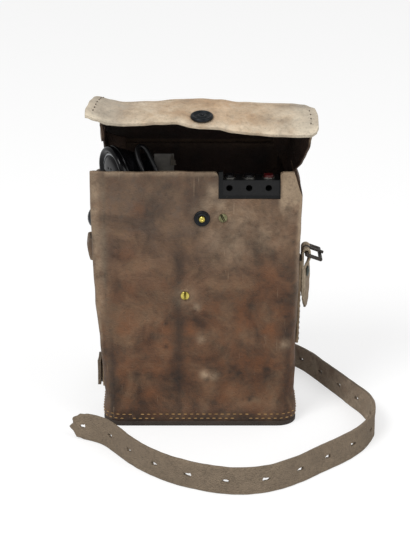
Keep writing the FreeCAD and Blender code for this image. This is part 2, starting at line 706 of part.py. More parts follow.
def pole_pieces():
    bore = ARMATURE_R + ARMATURE_GAP
    x = armature_x()
    z = magnet_z()
    group = []
    for way in (-1, 1):
        y0, y1 = sorted((MAGNETO_Y + way * 4.0, MAGNETO_Y + way * (bore + POLE_WALL)))
        pole = box(x - 11, x + 11, y0, y1, z, z + pole_height())
        group.append(pole.cut(rod(bore, (x, MAGNETO_Y, z - 1), Z_AXIS, pole_height() + 2)))
    return Part.makeCompound(group)


def armature():
    x = armature_x()
    z = magnet_z() + 0.5
    tall = pole_height() - 1
    core = rod(ARMATURE_R, (x, MAGNETO_Y, z), Z_AXIS, tall)
    for way in (-1, 1):
        a, b = sorted((x + way * 3.5, x + way * 12))
        core = core.cut(box(a, b, MAGNETO_Y - 6, MAGNETO_Y + 6, z + 3, z + tall - 3))
    return core.cut(rod(ARMATURE_SHAFT_R, (x, MAGNETO_Y, z - 1), Z_AXIS, tall + 2))


def armature_shaft():
    foot = PLATE_LOW_Z - 2
    return rod(ARMATURE_SHAFT_R, (armature_x(), MAGNETO_Y, foot), Z_AXIS, gear_z() + GEAR_FACE + 2 - foot)


def ringer_plate():
    left = CHASSIS_LEFT + SHEET + SEAM
    right = CHASSIS_RIGHT - SHEET - SEAM
    top = RINGER_Z + 28
    plate = box(left, right, RINGER_PLATE_Y, RINGER_PLATE_Y + 2, RINGER_Z - 28, top)
    return plate.fuse(box(left, right, RINGER_PLATE_Y, CHASSIS_BACK - SHEET - SEAM, top - 2, top))


def gong_rim_y():
    return RINGER_PLATE_Y - 16


def gong():
    y = gong_rim_y()
    outer = rod(GONG_R, (GONG_X, y, RINGER_Z), V(0, -1, 0), GONG_DEEP)
    inner = rod(GONG_R - GONG_WALL, (GONG_X, y, RINGER_Z), V(0, -1, 0), GONG_DEEP - GONG_WALL)
    return outer.cut(inner).cut(rod(2.0, (GONG_X, y + 1, RINGER_Z), V(0, -1, 0), GONG_DEEP + 2))


def ringer_coils():
    group = []
    for way in (-1, 1):
        x = COIL_MID_X + way * COIL_PITCH / 2
        coil = rod(COIL_R, (x, RINGER_PLATE_Y - 1, RINGER_Z), V(0, -1, 0), COIL_LONG - 2)
        ends = (RINGER_PLATE_Y, RINGER_PLATE_Y - COIL_LONG + 2)
        flanges = [rod(COIL_R + 1, (x, y, RINGER_Z), V(0, -1, 0), 1.2) for y in ends]
        core = rod(2.5, (x, RINGER_PLATE_Y, RINGER_Z), V(0, -1, 0), COIL_LONG + 1.2)
        group.append(coil.fuse(flanges + [core]))
    return Part.makeCompound(group)


def ringer_posts():
    # The post that carries the gong and the pin that the rocker turns on.
    length = RINGER_PLATE_Y - (gong_rim_y() - GONG_DEEP) + 1.5
    post = rod(2.0, (GONG_X, RINGER_PLATE_Y, RINGER_Z), V(0, -1, 0), length)
    spacer = rod(4.0, (GONG_X, RINGER_PLATE_Y, RINGER_Z), V(0, -1, 0), length - 1.5 - GONG_WALL)
    nut = rod(3.6, (GONG_X, RINGER_PLATE_Y - length + 1.5, RINGER_Z), V(0, -1, 0), 1.5)
    reach = RINGER_PLATE_Y - rocker_y() + 3.5
    pin = rod(1.2, (COIL_MID_X, RINGER_PLATE_Y, RINGER_Z), V(0, -1, 0), reach)
    collar = rod(2.4, (COIL_MID_X, RINGER_PLATE_Y, RINGER_Z), V(0, -1, 0), RINGER_PLATE_Y - rocker_y() - 0.3)
    head = rod(2.4, (COIL_MID_X, RINGER_PLATE_Y - reach, RINGER_Z), V(0, -1, 0), 0.8)
    return Part.makeCompound([post.fuse([spacer, nut]), pin.fuse([collar, head])])


def rocker_y():
    return RINGER_PLATE_Y - COIL_LONG - 1.2 - 1.2


def ringer_rocker():
    # The armature that rocks over both coils, with the hammer's wire rising from its middle.
    y = rocker_y()
    bar = box(COIL_MID_X - 15, COIL_MID_X + 15, y - 2.5, y, RINGER_Z - 3.5, RINGER_Z + 3.5)
    bar = bar.cut(rod(1.2 + RUNNING, (COIL_MID_X, y + 5, RINGER_Z), V(0, -1, 0), 12))
    x_ball = GONG_X - GONG_R - HAMMER_GAP - HAMMER_R
    wire = rod(0.9, (COIL_MID_X + 14, y - 1.25, RINGER_Z), X_AXIS, x_ball - COIL_MID_X - 14)
    return bar.fuse([wire, Part.makeSphere(HAMMER_R, V(x_ball, y - 1.25, RINGER_Z))])


def battery_cells():
    z = SOLE + SHEET + 1.5
    group = []
    for x in CELL_XS:
        cell = rod(CELL_R, (x, CELL_Y, z), Z_AXIS, CELL_TALL - 2)
        group.append(cell.fuse(rod(4.5, (x, CELL_Y, z), Z_AXIS, CELL_TALL)))
    return Part.makeCompound(group)


def battery_contacts():
    z = SOLE + SHEET
    low = box(CELL_XS[0] - 8, CELL_XS[-1] + 8, CELL_Y - 6, CELL_Y + 6, z, z + 1.5)
    top = z + 1.5 + CELL_TALL
    high = box(CELL_XS[0] - 8, CELL_XS[-1] + 8, CELL_Y - 6, CELL_Y + 6, top, top + 1.0)
    return Part.makeCompound([low, high])


def induction_coil():
    z = SOLE + SHEET
    flanges = [rod(10.0, (INDUCTION_X, 0, z + up), Z_AXIS, 1.5) for up in (0, INDUCTION_TALL)]
    return rod(8.0, (INDUCTION_X, 0, z), Z_AXIS, INDUCTION_TALL).fuse(flanges)


def ear_x():
    # The cap's face stands in from the case wall by its own reach, less what its rounded edge gives back.
    facing = math.radians(FACING)
    wall = on_left(-LEATHER, EAR_Z, EAR_Y + EAR_R * math.cos(facing))
    return wall + EAR_R * math.sin(facing) - EAR_TUCK


def handset_place(shape):
    # From the handset's own frame, in which the caps face +X, to its place in the well.
    lean = math.degrees(math.atan2(MOUTH_X_SHIFT, CAP_SPACING))
    shape = turn(shape, (0, 0, 0), Z_AXIS, 180 + FACING)
    shape = turn(shape, (0, 0, 0), Y_AXIS, -lean)
    shape.translate(V(ear_x(), EAR_Y, EAR_Z))
    return shape


def cap_solid(radius, z):
    solid = rod(radius, (-CAP_TALL, 0, z), X_AXIS, CAP_TALL)
    rim = 2 * math.pi * radius
    edge = [e for e in solid.Edges if abs(e.CenterOfMass.x) < 0.01 and abs(e.Length - rim) < 0.1]
    cap = solid.makeFillet(2.5, edge)
    cap = cap.cut(rod(radius - 3, (-CAP_TALL - 1, 0, z), X_AXIS, CAP_TALL - 1))
    for i in range(6):
        a = math.radians(60 * i)
        cap = cap.cut(rod(1.3, (-5, 7 * math.cos(a), z + 7 * math.sin(a)), X_AXIS, 10))
    return cap.cut(rod(1.3, (-5, 0, z), X_AXIS, 10))


def earpiece_cap():
    return handset_place(cap_solid(EAR_R, 0))


def mouthpiece_cap():
    return handset_place(cap_solid(MOUTH_R, -CAP_SPACING))


def handset_capsules():
    # The receiver and the microphone, each held in its cap.
    group = []
    for radius, z in ((EAR_R, 0), (MOUTH_R, -CAP_SPACING)):
        group.append(rod(radius - 3 - CAP_BORE_FIT, (-CAP_TALL + 0.5, 0, z), X_AXIS, CAP_TALL - 3.2))
    return handset_place(Part.makeCompound(group))


def housing(radius, z):
    start = -CAP_TALL - SEAM
    cone = Part.makeCone(radius - 1, radius * 0.62, HOUSING_DEEP, V(start, 0, z), V(-1, 0, 0))
    return cone.cut(Part.makeCone(radius - 5, radius * 0.62 - 4, HOUSING_DEEP - 3, V(start, 0, z), V(-1, 0, 0)))


def handset_handle():
    x1 = -HANDLE_OFFSET
    x0 = x1 - HANDLE_DEEP
    tall = CAP_SPACING + 16
    bar = box(x0, x1, -HANDLE_WIDE / 2, HANDLE_WIDE / 2, 8 - tall, 8)
    bar = bar.makeFillet(4.0, [e for e in bar.Edges if abs(e.BoundBox.ZLength - tall) < 0.01])
    necks = [box(x1 - 4, -CAP_TALL - HOUSING_DEEP + 2, -8, 8, z - 8, z + 8) for z in (0, -CAP_SPACING)]
    shell = bar.fuse([housing(EAR_R, 0), housing(MOUTH_R, -CAP_SPACING)] + necks)
    middle = -CAP_SPACING / 2
    slot = box(x1 - 5.0, x1 + 1, -5, 5, middle - TALK_BAR_LONG / 2 + 8, middle + TALK_BAR_LONG / 2 - 8)
    return handset_place(shell.cut(slot))


def talk_bar():
    x1 = -HANDLE_OFFSET + TALK_BAR_TRAVEL + 0.3
    middle = -CAP_SPACING / 2
    plate = box(x1, x1 + TALK_BAR_THICK, -6, 6, middle - TALK_BAR_LONG / 2, middle + TALK_BAR_LONG / 2)
    guide = box(x1 - 2.5, x1, -4.9, 4.9, middle - TALK_BAR_LONG / 2 + 8.1, middle - 8).fuse(
        box(x1 - 2.5, x1, -4.9, 4.9, middle + 8, middle + TALK_BAR_LONG / 2 - 8.1))
    return handset_place(plate.fuse(guide))


def cord_gland():
    # The strain relief at the foot of the handle, along the cord's first run.
    a = V(*CORD_POINTS[0])
    b = V(*CORD_POINTS[1])
    way = b - a
    way.normalize()
    start = a - way * 9
    body = Part.makeCone(5.0, 3.4, 9.0, start, way)
    return body.cut(handset_handle())


def chassis_gland():
    tip = V(*CORD_POINTS[-1])
    way = V(CHASSIS_LEFT - tip.x, 0, 0)
    return Part.makeCylinder(GLAND_R, way.Length, tip, V(1, 0, 0))


def handset_rest():
    low = EAR_Z - CAP_SPACING * math.cos(math.atan2(MOUTH_X_SHIFT, CAP_SPACING)) - MOUTH_R - 0.5
    return box(-82.0, -44.0, -22.0, 24.0, SOLE, low - REST_GAP)


def route(points, share=0.45):
    # Straight runs joined by tangent arcs. Returns the edges, their radii and the whole length.
    points = [V(*p) for p in points]
    edges, radii = [], []
    last = points[0]
    for i in range(1, len(points) - 1):
        a = points[i - 1] - points[i]
        b = points[i + 1] - points[i]
        run = min(a.Length, b.Length)
        a.normalize()
        b.normalize()
        turn_angle = math.pi - a.getAngle(b)
        back = share * run
        radius = back / math.tan(turn_angle / 2)
        inward = a + b
        inward.normalize()
        start = points[i] + a * back
        end = points[i] + b * back
        mid = points[i] + inward * (radius / math.cos(turn_angle / 2) - radius)
        if (start - last).Length > 1e-6:
            edges.append(Part.LineSegment(last, start).toShape())
        edges.append(Part.Arc(start, mid, end).toShape())
        radii.append(radius)
        last = end
    edges.append(Part.LineSegment(last, points[-1]).toShape())
    return edges, radii, sum(e.Length for e in edges)


def handset_cord():
    edges, radii, length = route(CORD_POINTS)
    wire = Part.Wire(edges)
    start = edges[0].tangentAt(edges[0].FirstParameter)
    profile = Part.Wire([Part.makeCircle(CORD_R, V(*CORD_POINTS[0]), start)])
    tube = wire.makePipeShell([profile], True, True)
    print("handset cord: length", round(length, 1), "least radius", round(min(radii), 1),
          "volume share", round(tube.Volume / (math.pi * CORD_R ** 2 * length), 4))
    return tube


def strap_path():
    return [(STRAP_X, STRAP_RAMP_END)] + list(STRAP_POINTS)


def ribbon(edges, z0, z1):
    # A wall of the strap's thickness along flat edges: each edge becomes its own block, then they join.
    blocks = []
    half = STRAP_THICK / 2
    for edge in edges:
        a = edge.valueAt(edge.FirstParameter)
        b = edge.valueAt(edge.LastParameter)
        m = edge.valueAt((edge.FirstParameter + edge.LastParameter) / 2)
        sides = []
        for way in (-1, 1):
            moved = []
            for point, at in ((a, edge.FirstParameter), (m, (edge.FirstParameter + edge.LastParameter) / 2),
                              (b, edge.LastParameter)):
                tangent = edge.tangentAt(at)
                moved.append(V(point.x - tangent.y * half * way, point.y + tangent.x * half * way, z0))
            sides.append(moved)
        straight = edge.Curve.TypeId == "Part::GeomLine"
        long_edges = []
        for moved in sides:
            if straight:
                long_edges.append(Part.LineSegment(moved[0], moved[2]).toShape())
            else:
                long_edges.append(Part.Arc(moved[0], moved[1], moved[2]).toShape())
        ends = [Part.LineSegment(sides[0][i], sides[1][i]).toShape() for i in (0, 2)]
        wire = Part.Wire(Part.__sortEdges__(long_edges + ends))
        blocks.append(Part.Face(wire).extrude(V(0, 0, z1 - z0)))
    return blocks[0].fuse(blocks[1:]).removeSplitter()


def carrying_strap():
    half = SIDE_STRAP / 2
    flat = [(x, y, 0.0) for x, y in strap_path()]
    edges, radii, length = route(flat)
    floor = ribbon(edges, 0.0, SIDE_STRAP)
    z_top = STRAP_SEWN_Z
    points = [V(STRAP_X - STRAP_THICK / 2, STRAP_SEWN_FRONT, z_top - half),
              V(STRAP_X - STRAP_THICK / 2, STRAP_RAMP_START, z_top - half),
              V(STRAP_X - STRAP_THICK / 2, STRAP_RAMP_END, 0),
              V(STRAP_X - STRAP_THICK / 2, STRAP_RAMP_END, SIDE_STRAP),
              V(STRAP_X - STRAP_THICK / 2, STRAP_RAMP_START, z_top + half),
              V(STRAP_X - STRAP_THICK / 2, STRAP_SEWN_FRONT, z_top + half)]
    ramp = Part.Face(Part.makePolygon(points + points[:1])).extrude(V(STRAP_THICK, 0, 0))
    ramp_run = math.hypot(STRAP_RAMP_END - STRAP_RAMP_START, z_top - half)
    whole = length + ramp_run + STRAP_RAMP_START - STRAP_SEWN_FRONT
    strap = floor.fuse(ramp).removeSplitter()
    print("carrying strap: length", round(whole, 1), "least radius", round(min(radii), 1),
          "volume share", round(strap.Volume / (SIDE_STRAP * STRAP_THICK * whole), 4))
    wire = Part.Wire(edges)
    for i in range(STRAP_HOLES):
        back = wire.Length - STRAP_FIRST_HOLE - i * STRAP_HOLE_PITCH
        point, tangent = along(edges, back)
        low = half - STRAP_HOLE_TALL / 2
        slot = box(-STRAP_HOLE_LONG / 2, STRAP_HOLE_LONG / 2, -6, 6, low, low + STRAP_HOLE_TALL)
        slot = turn(slot, (0, 0, 0), Z_AXIS, math.degrees(math.atan2(tangent.y, tangent.x)))
        slot.translate(V(point.x, point.y, 0))
        strap = strap.cut(slot)
    return strap


def along(edges, distance):
    for edge in edges:
        if distance <= edge.Length:
            at = edge.getParameterByLength(distance)
            return edge.valueAt(at), edge.tangentAt(at)
        distance -= edge.Length
    return edges[-1].valueAt(edges[-1].LastParameter), edges[-1].tangentAt(edges[-1].LastParameter)


def side_layer(sign, first, thick, width, z0, z1):
    # A strip of leather that follows the case's side, first outside the wall and thick outwards.
    skin = case_solid(first + thick, z0 - 1, z1 + 1).cut(case_solid(first, z0 - 2, z1 + 2))
    x0, x1 = (0, 130) if sign > 0 else (-130, 0)
    return skin.common(box(x0, x1, -width / 2, width / 2, z0, z1))


def left_side_straps():
    # The keeper strip down the left side, and the patch that the carrying strap is sewn to.
    strip = side_layer(-1, LAYER_GAP, SIDE_LAYER, SIDE_STRAP - 3, 60.5, 156.0)
    patch = side_layer(-1, LAYER_GAP, SIDE_LAYER, SIDE_STRAP, 31.0, 60.0)
    return Part.makeCompound([strip, patch])


def left_loop():
    z0, z1 = 159.0, 185.0
    outer = side_layer(-1, LAYER_GAP, 7.0, SIDE_STRAP + 8, z0, z1)
    inner = side_layer(-1, LAYER_GAP + 2.2, 2.8, SIDE_STRAP + 1, z0 - 0.5, z1 + 0.5)
    return outer.cut(inner)


def left_dome():
    z = 200.0
    x = on_left(LAYER_GAP, z)
    sphere_r = (DOME_R ** 2 + DOME_PROUD ** 2) / (2 * DOME_PROUD)
    ball = Part.makeSphere(sphere_r, V(x + sphere_r - DOME_PROUD, 0, z))
    dome = ball.common(box(x - 20, x - 0.4, -20, 20, z - 20, z + 20))
    return dome.cut(case_solid(LAYER_GAP, z - 20, z + 20))


def right_side_strap():
    return side_layer(1, LAYER_GAP, SIDE_LAYER, SIDE_STRAP - 3, 76.0, 160.0)


def bar_x():
    return on_right(LAYER_GAP + SIDE_LAYER + 2.2 + BUCKLE_WIRE + 0.3, BUCKLE_Z)


def right_chape():
    # A strip doubled round the buckle's bar and riveted to itself below.
    x = bar_x()
    fold_r = BUCKLE_WIRE + 0.3
    outer_r = fold_r + 2.2
    low = BUCKLE_Z - CHAPE_LONG + outer_r
    half = CHAPE_WIDE / 2
    loop = ring(outer_r, fold_r, (x, -half, BUCKLE_Z), Y_AXIS, CHAPE_WIDE)
    inner = box(x - outer_r, x - fold_r, -half, half, low + 14, BUCKLE_Z)
    outer = box(x + fold_r, x + outer_r, -half, half, low, BUCKLE_Z)
    front_half = box(x - 9, x + 9, -half - 1, half + 1, BUCKLE_Z - 9, BUCKLE_Z)
    arch = loop.cut(front_half)
    body = arch.fuse([inner, outer])
    for way in (-1, 1):
        points = [V(x, way * (half + 1), low - 1), V(x, way * (half + 1), low + 12), V(x, way * 3, low - 1)]
        body = body.cut(Part.Face(Part.makePolygon(points + points[:1])).extrude(V(20, 0, 0)))
    gap = box(x - outer_r - 1, x + outer_r + 1, -3.2, 3.2, BUCKLE_Z - 5, BUCKLE_Z + 9)
    return body.cut(gap)


def chape_rivet():
    x = bar_x()
    z = BUCKLE_Z - 22
    outer_r = BUCKLE_WIRE + 0.3 + 2.2
    shank = rod(1.6, (on_right(LAYER_GAP, z), 0, z), X_AXIS, x + outer_r + 1.2 - on_right(LAYER_GAP, z))
    head = Part.makeCone(3.4, 2.2, 1.3, V(x + outer_r, 0, z), X_AXIS)
    return shank.fuse(head)


def rivet_hole(shape):
    z = BUCKLE_Z - 22
    return shape.cut(rod(1.6 + SEAM, (80, 0, z), X_AXIS, 40))


def buckle_turn(shape):
    return turn(shape, (bar_x(), 0, BUCKLE_Z), Y_AXIS, BUCKLE_DROP)


def buckle_frame():
    x = bar_x()
    half = BUCKLE_WIDE / 2
    bars = []
    for offset in (0, BUCKLE_REACH):
        bars.append(rod(BUCKLE_WIRE, (x + offset, -half, BUCKLE_Z), Y_AXIS, BUCKLE_WIDE))
    for way in (-1, 1):
        bars.append(rod(BUCKLE_WIRE, (x, way * half, BUCKLE_Z), X_AXIS, BUCKLE_REACH))
        bars.append(Part.makeSphere(BUCKLE_WIRE, V(x, way * half, BUCKLE_Z)))
        bars.append(Part.makeSphere(BUCKLE_WIRE, V(x + BUCKLE_REACH, way * half, BUCKLE_Z)))
    return buckle_turn(bars[0].fuse(bars[1:]))


def buckle_tongue():
    x = bar_x()
    wrap_in = BUCKLE_WIRE + RUNNING
    eye = ring(wrap_in + 1.6, wrap_in, (x, -2.0, BUCKLE_Z), Y_AXIS, 4.0)
    low = BUCKLE_Z + BUCKLE_WIRE + 0.1
    pin = box(x - 0.2, x + BUCKLE_REACH + 2.4, -1.6, 1.6, low, low + 2.0)
    body = eye.fuse(pin).cut(rod(wrap_in, (x, -5, BUCKLE_Z), Y_AXIS, 10))
    return buckle_turn(body)


def build():
    return {
        "case_wrap": case_wrap(), "case_back": case_back(), "case_base": case_base(), "base_welt": base_welt(),
        "lid_hinge_strip": hinge_strip(), "lid_top": lid_top(), "lid_front_flap": lid_front_flap(),
        "lid_gusset_left": gusset(GORE_LEFT_EDGE, GORE_LEFT_XS),
        "lid_gusset_right": gusset(GORE_RIGHT_EDGE, GORE_RIGHT_XS), "snap_cap": snap_cap(),
        "snap_socket": snap_socket(), "stud_collar": stud_collar(), "stud_post": stud_post(),
        "case_screws": case_screws(), "chassis_frame": chassis_frame(), "partition_plate": partition_plate(),
        "top_panel": top_panel(), "terminal_bezel": terminal_bezel(),
        "terminal_block": contact_holes(terminal_block()), "terminal_contacts": terminal_contacts(),
        "button_collars": button_collars(), "line_button_left": line_button(SOCKET_XS[0]),
        "line_button_middle": line_button(SOCKET_XS[1]), "line_button_right": line_button(SOCKET_XS[2]),
        "crank_gear": crank_gear(), "crank_shaft": crank_shaft(), "crank_arm": crank_arm(),
        "crank_knob": crank_knob(), "armature_pinion": pinion(), "armature_core": armature(),
        "armature_shaft": armature_shaft(), "magneto_plates": magneto_plates(), "magnets": magnets(),
        "pole_pieces": pole_pieces(), "ringer_plate": ringer_plate(), "gong": gong(),
        "ringer_posts": ringer_posts(), "ringer_coils": ringer_coils(), "ringer_rocker": ringer_rocker(),
        "battery_cells": battery_cells(), "battery_contacts": battery_contacts(),
        "induction_coil": induction_coil(), "handset_rest": handset_rest(),
        "handset_handle": handset_handle(), "earpiece_cap": earpiece_cap(),
        "mouthpiece_cap": mouthpiece_cap(), "handset_capsules": handset_capsules(), "talk_bar": talk_bar(),
        "handset_gland": cord_gland(), "chassis_gland": chassis_gland(), "handset_cord": handset_cord(),
        "left_side_straps": left_side_straps(), "left_loop": left_loop(), "left_dome": left_dome(),
        "right_side_strap": rivet_hole(right_side_strap()), "right_chape": rivet_hole(right_chape()),
        "chape_rivet": chape_rivet(), "buckle_frame": buckle_frame(), "buckle_tongue": buckle_tongue(),
        "carrying_strap": carrying_strap(),
    }


os.makedirs("parts", exist_ok=True)
for name, shape in build().items():
    shape.exportStep("parts/" + name + ".step")
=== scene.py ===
from bisect import bisect_right
from functools import partial
from math import atan2, copysign, cos, degrees, exp, floor, hypot, pi, radians, sin, tan

import bmesh
import bpy
from mathutils import Matrix, Vector, noise


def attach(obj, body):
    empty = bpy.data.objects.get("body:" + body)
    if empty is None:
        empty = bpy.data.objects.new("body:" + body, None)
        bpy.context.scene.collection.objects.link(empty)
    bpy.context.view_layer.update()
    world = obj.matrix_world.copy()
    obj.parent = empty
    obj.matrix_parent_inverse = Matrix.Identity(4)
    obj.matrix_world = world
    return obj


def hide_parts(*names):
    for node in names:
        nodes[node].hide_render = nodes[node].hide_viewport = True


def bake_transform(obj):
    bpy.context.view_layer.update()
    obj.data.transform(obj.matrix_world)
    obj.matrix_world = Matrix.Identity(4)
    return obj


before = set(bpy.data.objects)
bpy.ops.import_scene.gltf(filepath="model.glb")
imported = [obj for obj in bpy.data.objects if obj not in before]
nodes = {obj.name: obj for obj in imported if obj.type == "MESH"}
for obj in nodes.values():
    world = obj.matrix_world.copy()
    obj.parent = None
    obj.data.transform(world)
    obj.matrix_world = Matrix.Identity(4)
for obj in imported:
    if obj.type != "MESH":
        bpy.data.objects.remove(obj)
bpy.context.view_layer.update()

# A field telephone in a worn leather carrying case. Sizes are in millimetres here and turned to metres
# when a piece is finished. The case faces -Y, +X is to the right and +Z is up.

scene = bpy.context.scene
shift = Matrix.Translation
MM = 0.001
RIGHT, BACK, UP = Vector((1, 0, 0)), Vector((0, 1, 0)), Vector((0, 0, 1))


# Small helpers

def smooth(low, high, value):
    # 0 up to low and 1 from high on, eased between. With low above high it runs the other way.
    t = min(1.0, max(0.0, (value - low) / (high - low)))
    return t * t * (3 - 2 * t)


def bell(distance, reach):
    # 1 at no distance, a third at reach and nearly 0 at twice that.
    return exp(-(distance / reach) ** 2)


def near(x, z, spots, reach):
    # 1 at any of the spots on the front, falling to 0 away from them.
    return max(exp(-((x - a) ** 2 + (z - b) ** 2) / reach ** 2) for a, b in spots)


def between(table, x):
    # A value read from rising pairs (place, value), eased from each to the next.
    if x <= table[0][0]:
        return table[0][1]
    for (x0, a), (x1, b) in zip(table, table[1:]):
        if x <= x1:
            return a + (b - a) * smooth(x0, x1, x)
    return table[-1][1]


def ripple(x, y, z, size):
    return noise.noise(Vector((x / size, y / size, z / size)))


def turn(angle, axis):
    return Matrix.Rotation(radians(angle), 4, axis)


def sheet(columns, rows, place, flip=False):
    # A sheet of cells whose corners are moved to place(u, v), with u and v from 0 to 1.
    bm = bmesh.new()
    bmesh.ops.create_grid(bm, x_segments=columns, y_segments=rows, size=0.5)
    for vert in bm.verts:
        vert.co = Vector(place(vert.co.x + 0.5, vert.co.y + 0.5))
    if flip:
        bmesh.ops.reverse_faces(bm, faces=bm.faces)
    return bm


def cut_out(bm, gone):
    # Take away the faces whose middle is gone.
    doomed = [f for f in bm.faces if gone(f.calc_center_median())]
    bmesh.ops.delete(bm, geom=doomed, context="FACES")


def pull(bm, faces, way):
    # Move a copy of the faces along way and wall in the gap.
    made = bmesh.ops.extrude_face_region(bm, geom=faces)
    moved = [part for part in made["geom"] if isinstance(part, bmesh.types.BMVert)]
    bmesh.ops.translate(bm, vec=way, verts=moved)


def put(name, data):
    made = bpy.data.objects.new(name, data)
    scene.collection.objects.link(made)
    return made


def piece(name, bm, body, slot, materials, stands_for=(), wall=0.0, middle=False, edge=0.0, dark_rim=False,
          **paint):
    # A finished object from a bmesh in millimetres. body is None for a piece that blends. A second material
    # is for the inner side of the wall, and for its cut edge too where dark_rim is set. paint gives the
    # attributes that a hide's finish reads, each a number or a function of the place.
    for key, value in paint.items():
        layer = bm.verts.layers.float.new(key)
        for vert in bm.verts:
            vert[layer] = value(*vert.co) if callable(value) else value
    bmesh.ops.scale(bm, vec=Vector((MM, MM, MM)), verts=bm.verts)
    mesh = bpy.data.meshes.new(name)
    bm.to_mesh(mesh)
    bm.free()
    mesh.polygons.foreach_set("use_smooth", [True] * len(mesh.polygons))
    for material in materials:
        mesh.materials.append(material)
    made = put(name, mesh)
    if wall:
        skin = made.modifiers.new("wall", "SOLIDIFY")
        skin.thickness = wall * MM
        skin.offset = 0.0 if middle else -1.0
        skin.use_even_offset = False
        if len(materials) > 1:
            skin.material_offset = 1
            skin.material_offset_rim = 1 if dark_rim else 0
    if edge:
        rim = made.modifiers.new("edge", "BEVEL")
        rim.width = edge * MM
        rim.segments = 2
        rim.limit_method = "ANGLE"
        rim.angle_limit = radians(50)
    if body:
        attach(made, body)
    if stands_for:
        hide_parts(*stands_for)
    return made


def route(points):
    # The points of a smooth line that has the given points as its control points.
    data = bpy.data.curves.new("route", "CURVE")
    data.dimensions = "3D"
    line = data.splines.new("NURBS")
    line.points.add(len(points) - 1)
    for target, point in zip(line.points, points):
        target.co = (*point, 1.0)
    line.order_u = 3
    line.use_endpoint_u = True
    line.resolution_u = 16
    holder = put("route", data)
    bpy.context.view_layer.update()
    mesh = bpy.data.meshes.new_from_object(holder)
    path = [v.co.copy() for v in mesh.vertices]
    bpy.data.objects.remove(holder)
    bpy.data.curves.remove(data)
    bpy.data.meshes.remove(mesh)
    return path


def measured(path):
    # A function that gives the point and the way at a distance along the path, and the path's length.
    far = [0.0]
    for a, b in zip(path, path[1:]):
        far.append(far[-1] + (b - a).length)

    def at(distance):
        distance = min(max(distance, 0.0), far[-1])
        low = min(bisect_right(far, distance) - 1, len(far) - 2)
        share = (distance - far[low]) / (far[low + 1] - far[low] or 1.0)
        a, b = path[low], path[low + 1]
        return a.lerp(b, share), (b - a).normalized()

    return at, far[-1]


def stitches(name, spots, body, slot, material, length=3.8, width=1.0):
    # Short threads, each given by its middle, the way it runs and the way it faces.
    bm = bmesh.new()
    for middle, along, facing in spots:
        across = facing.cross(along).normalized()
        turned_to = Matrix((along.normalized(), across, facing.normalized())).transposed().to_4x4()
        size = Matrix.Diagonal((length / 2, width / 2, width * 0.42, 1.0))
        bmesh.ops.create_uvsphere(bm, u_segments=6, v_segments=5, radius=1.0,
                                  matrix=shift(middle) @ turned_to @ size)
    piece(name, bm, body, slot, [material])


# Materials

def colour(hex_code):
    parts = [int(hex_code[i:i + 2], 16) / 255 for i in (0, 2, 4)]
    return tuple(c / 12.92 if c <= 0.04045 else ((c + 0.055) / 1.055) ** 2.4 for c in parts) + (1.0,)


def add_node(tree, kind, inputs=None, stops=None, **settings):
    # One shader node, with its settings, the stops of its ramp, and numbers, nodes or sockets as inputs.
    made = tree.nodes.new("ShaderNode" + kind)
    for name, value in settings.items():
        setattr(made, name, value)
    if stops:
        while len(made.color_ramp.elements) < len(stops):
            made.color_ramp.elements.new(0.5)
        for element, (at, value) in zip(made.color_ramp.elements, stops):
            element.position = at
            element.color = colour(value) if isinstance(value, str) else (value, value, value, 1.0)
    for name, value in (inputs or {}).items():
        if isinstance(value, bpy.types.Node):
            value = value.outputs[0]
        if isinstance(value, bpy.types.NodeSocket):
            tree.links.new(value, made.inputs[name])
        else:
            made.inputs[name].default_value = value
    return made


def begin(name):
    # A new material, what adds a node to it, and a node that gives the place on the piece in millimetres.
    material = bpy.data.materials.new(name)
    material.use_nodes = True
    material.node_tree.nodes.clear()
    add = partial(add_node, material.node_tree)
    mm = add("Mapping", {"Vector": add("TexCoord").outputs["Object"], "Scale": (1000, 1000, 1000)})
    return material, add, mm


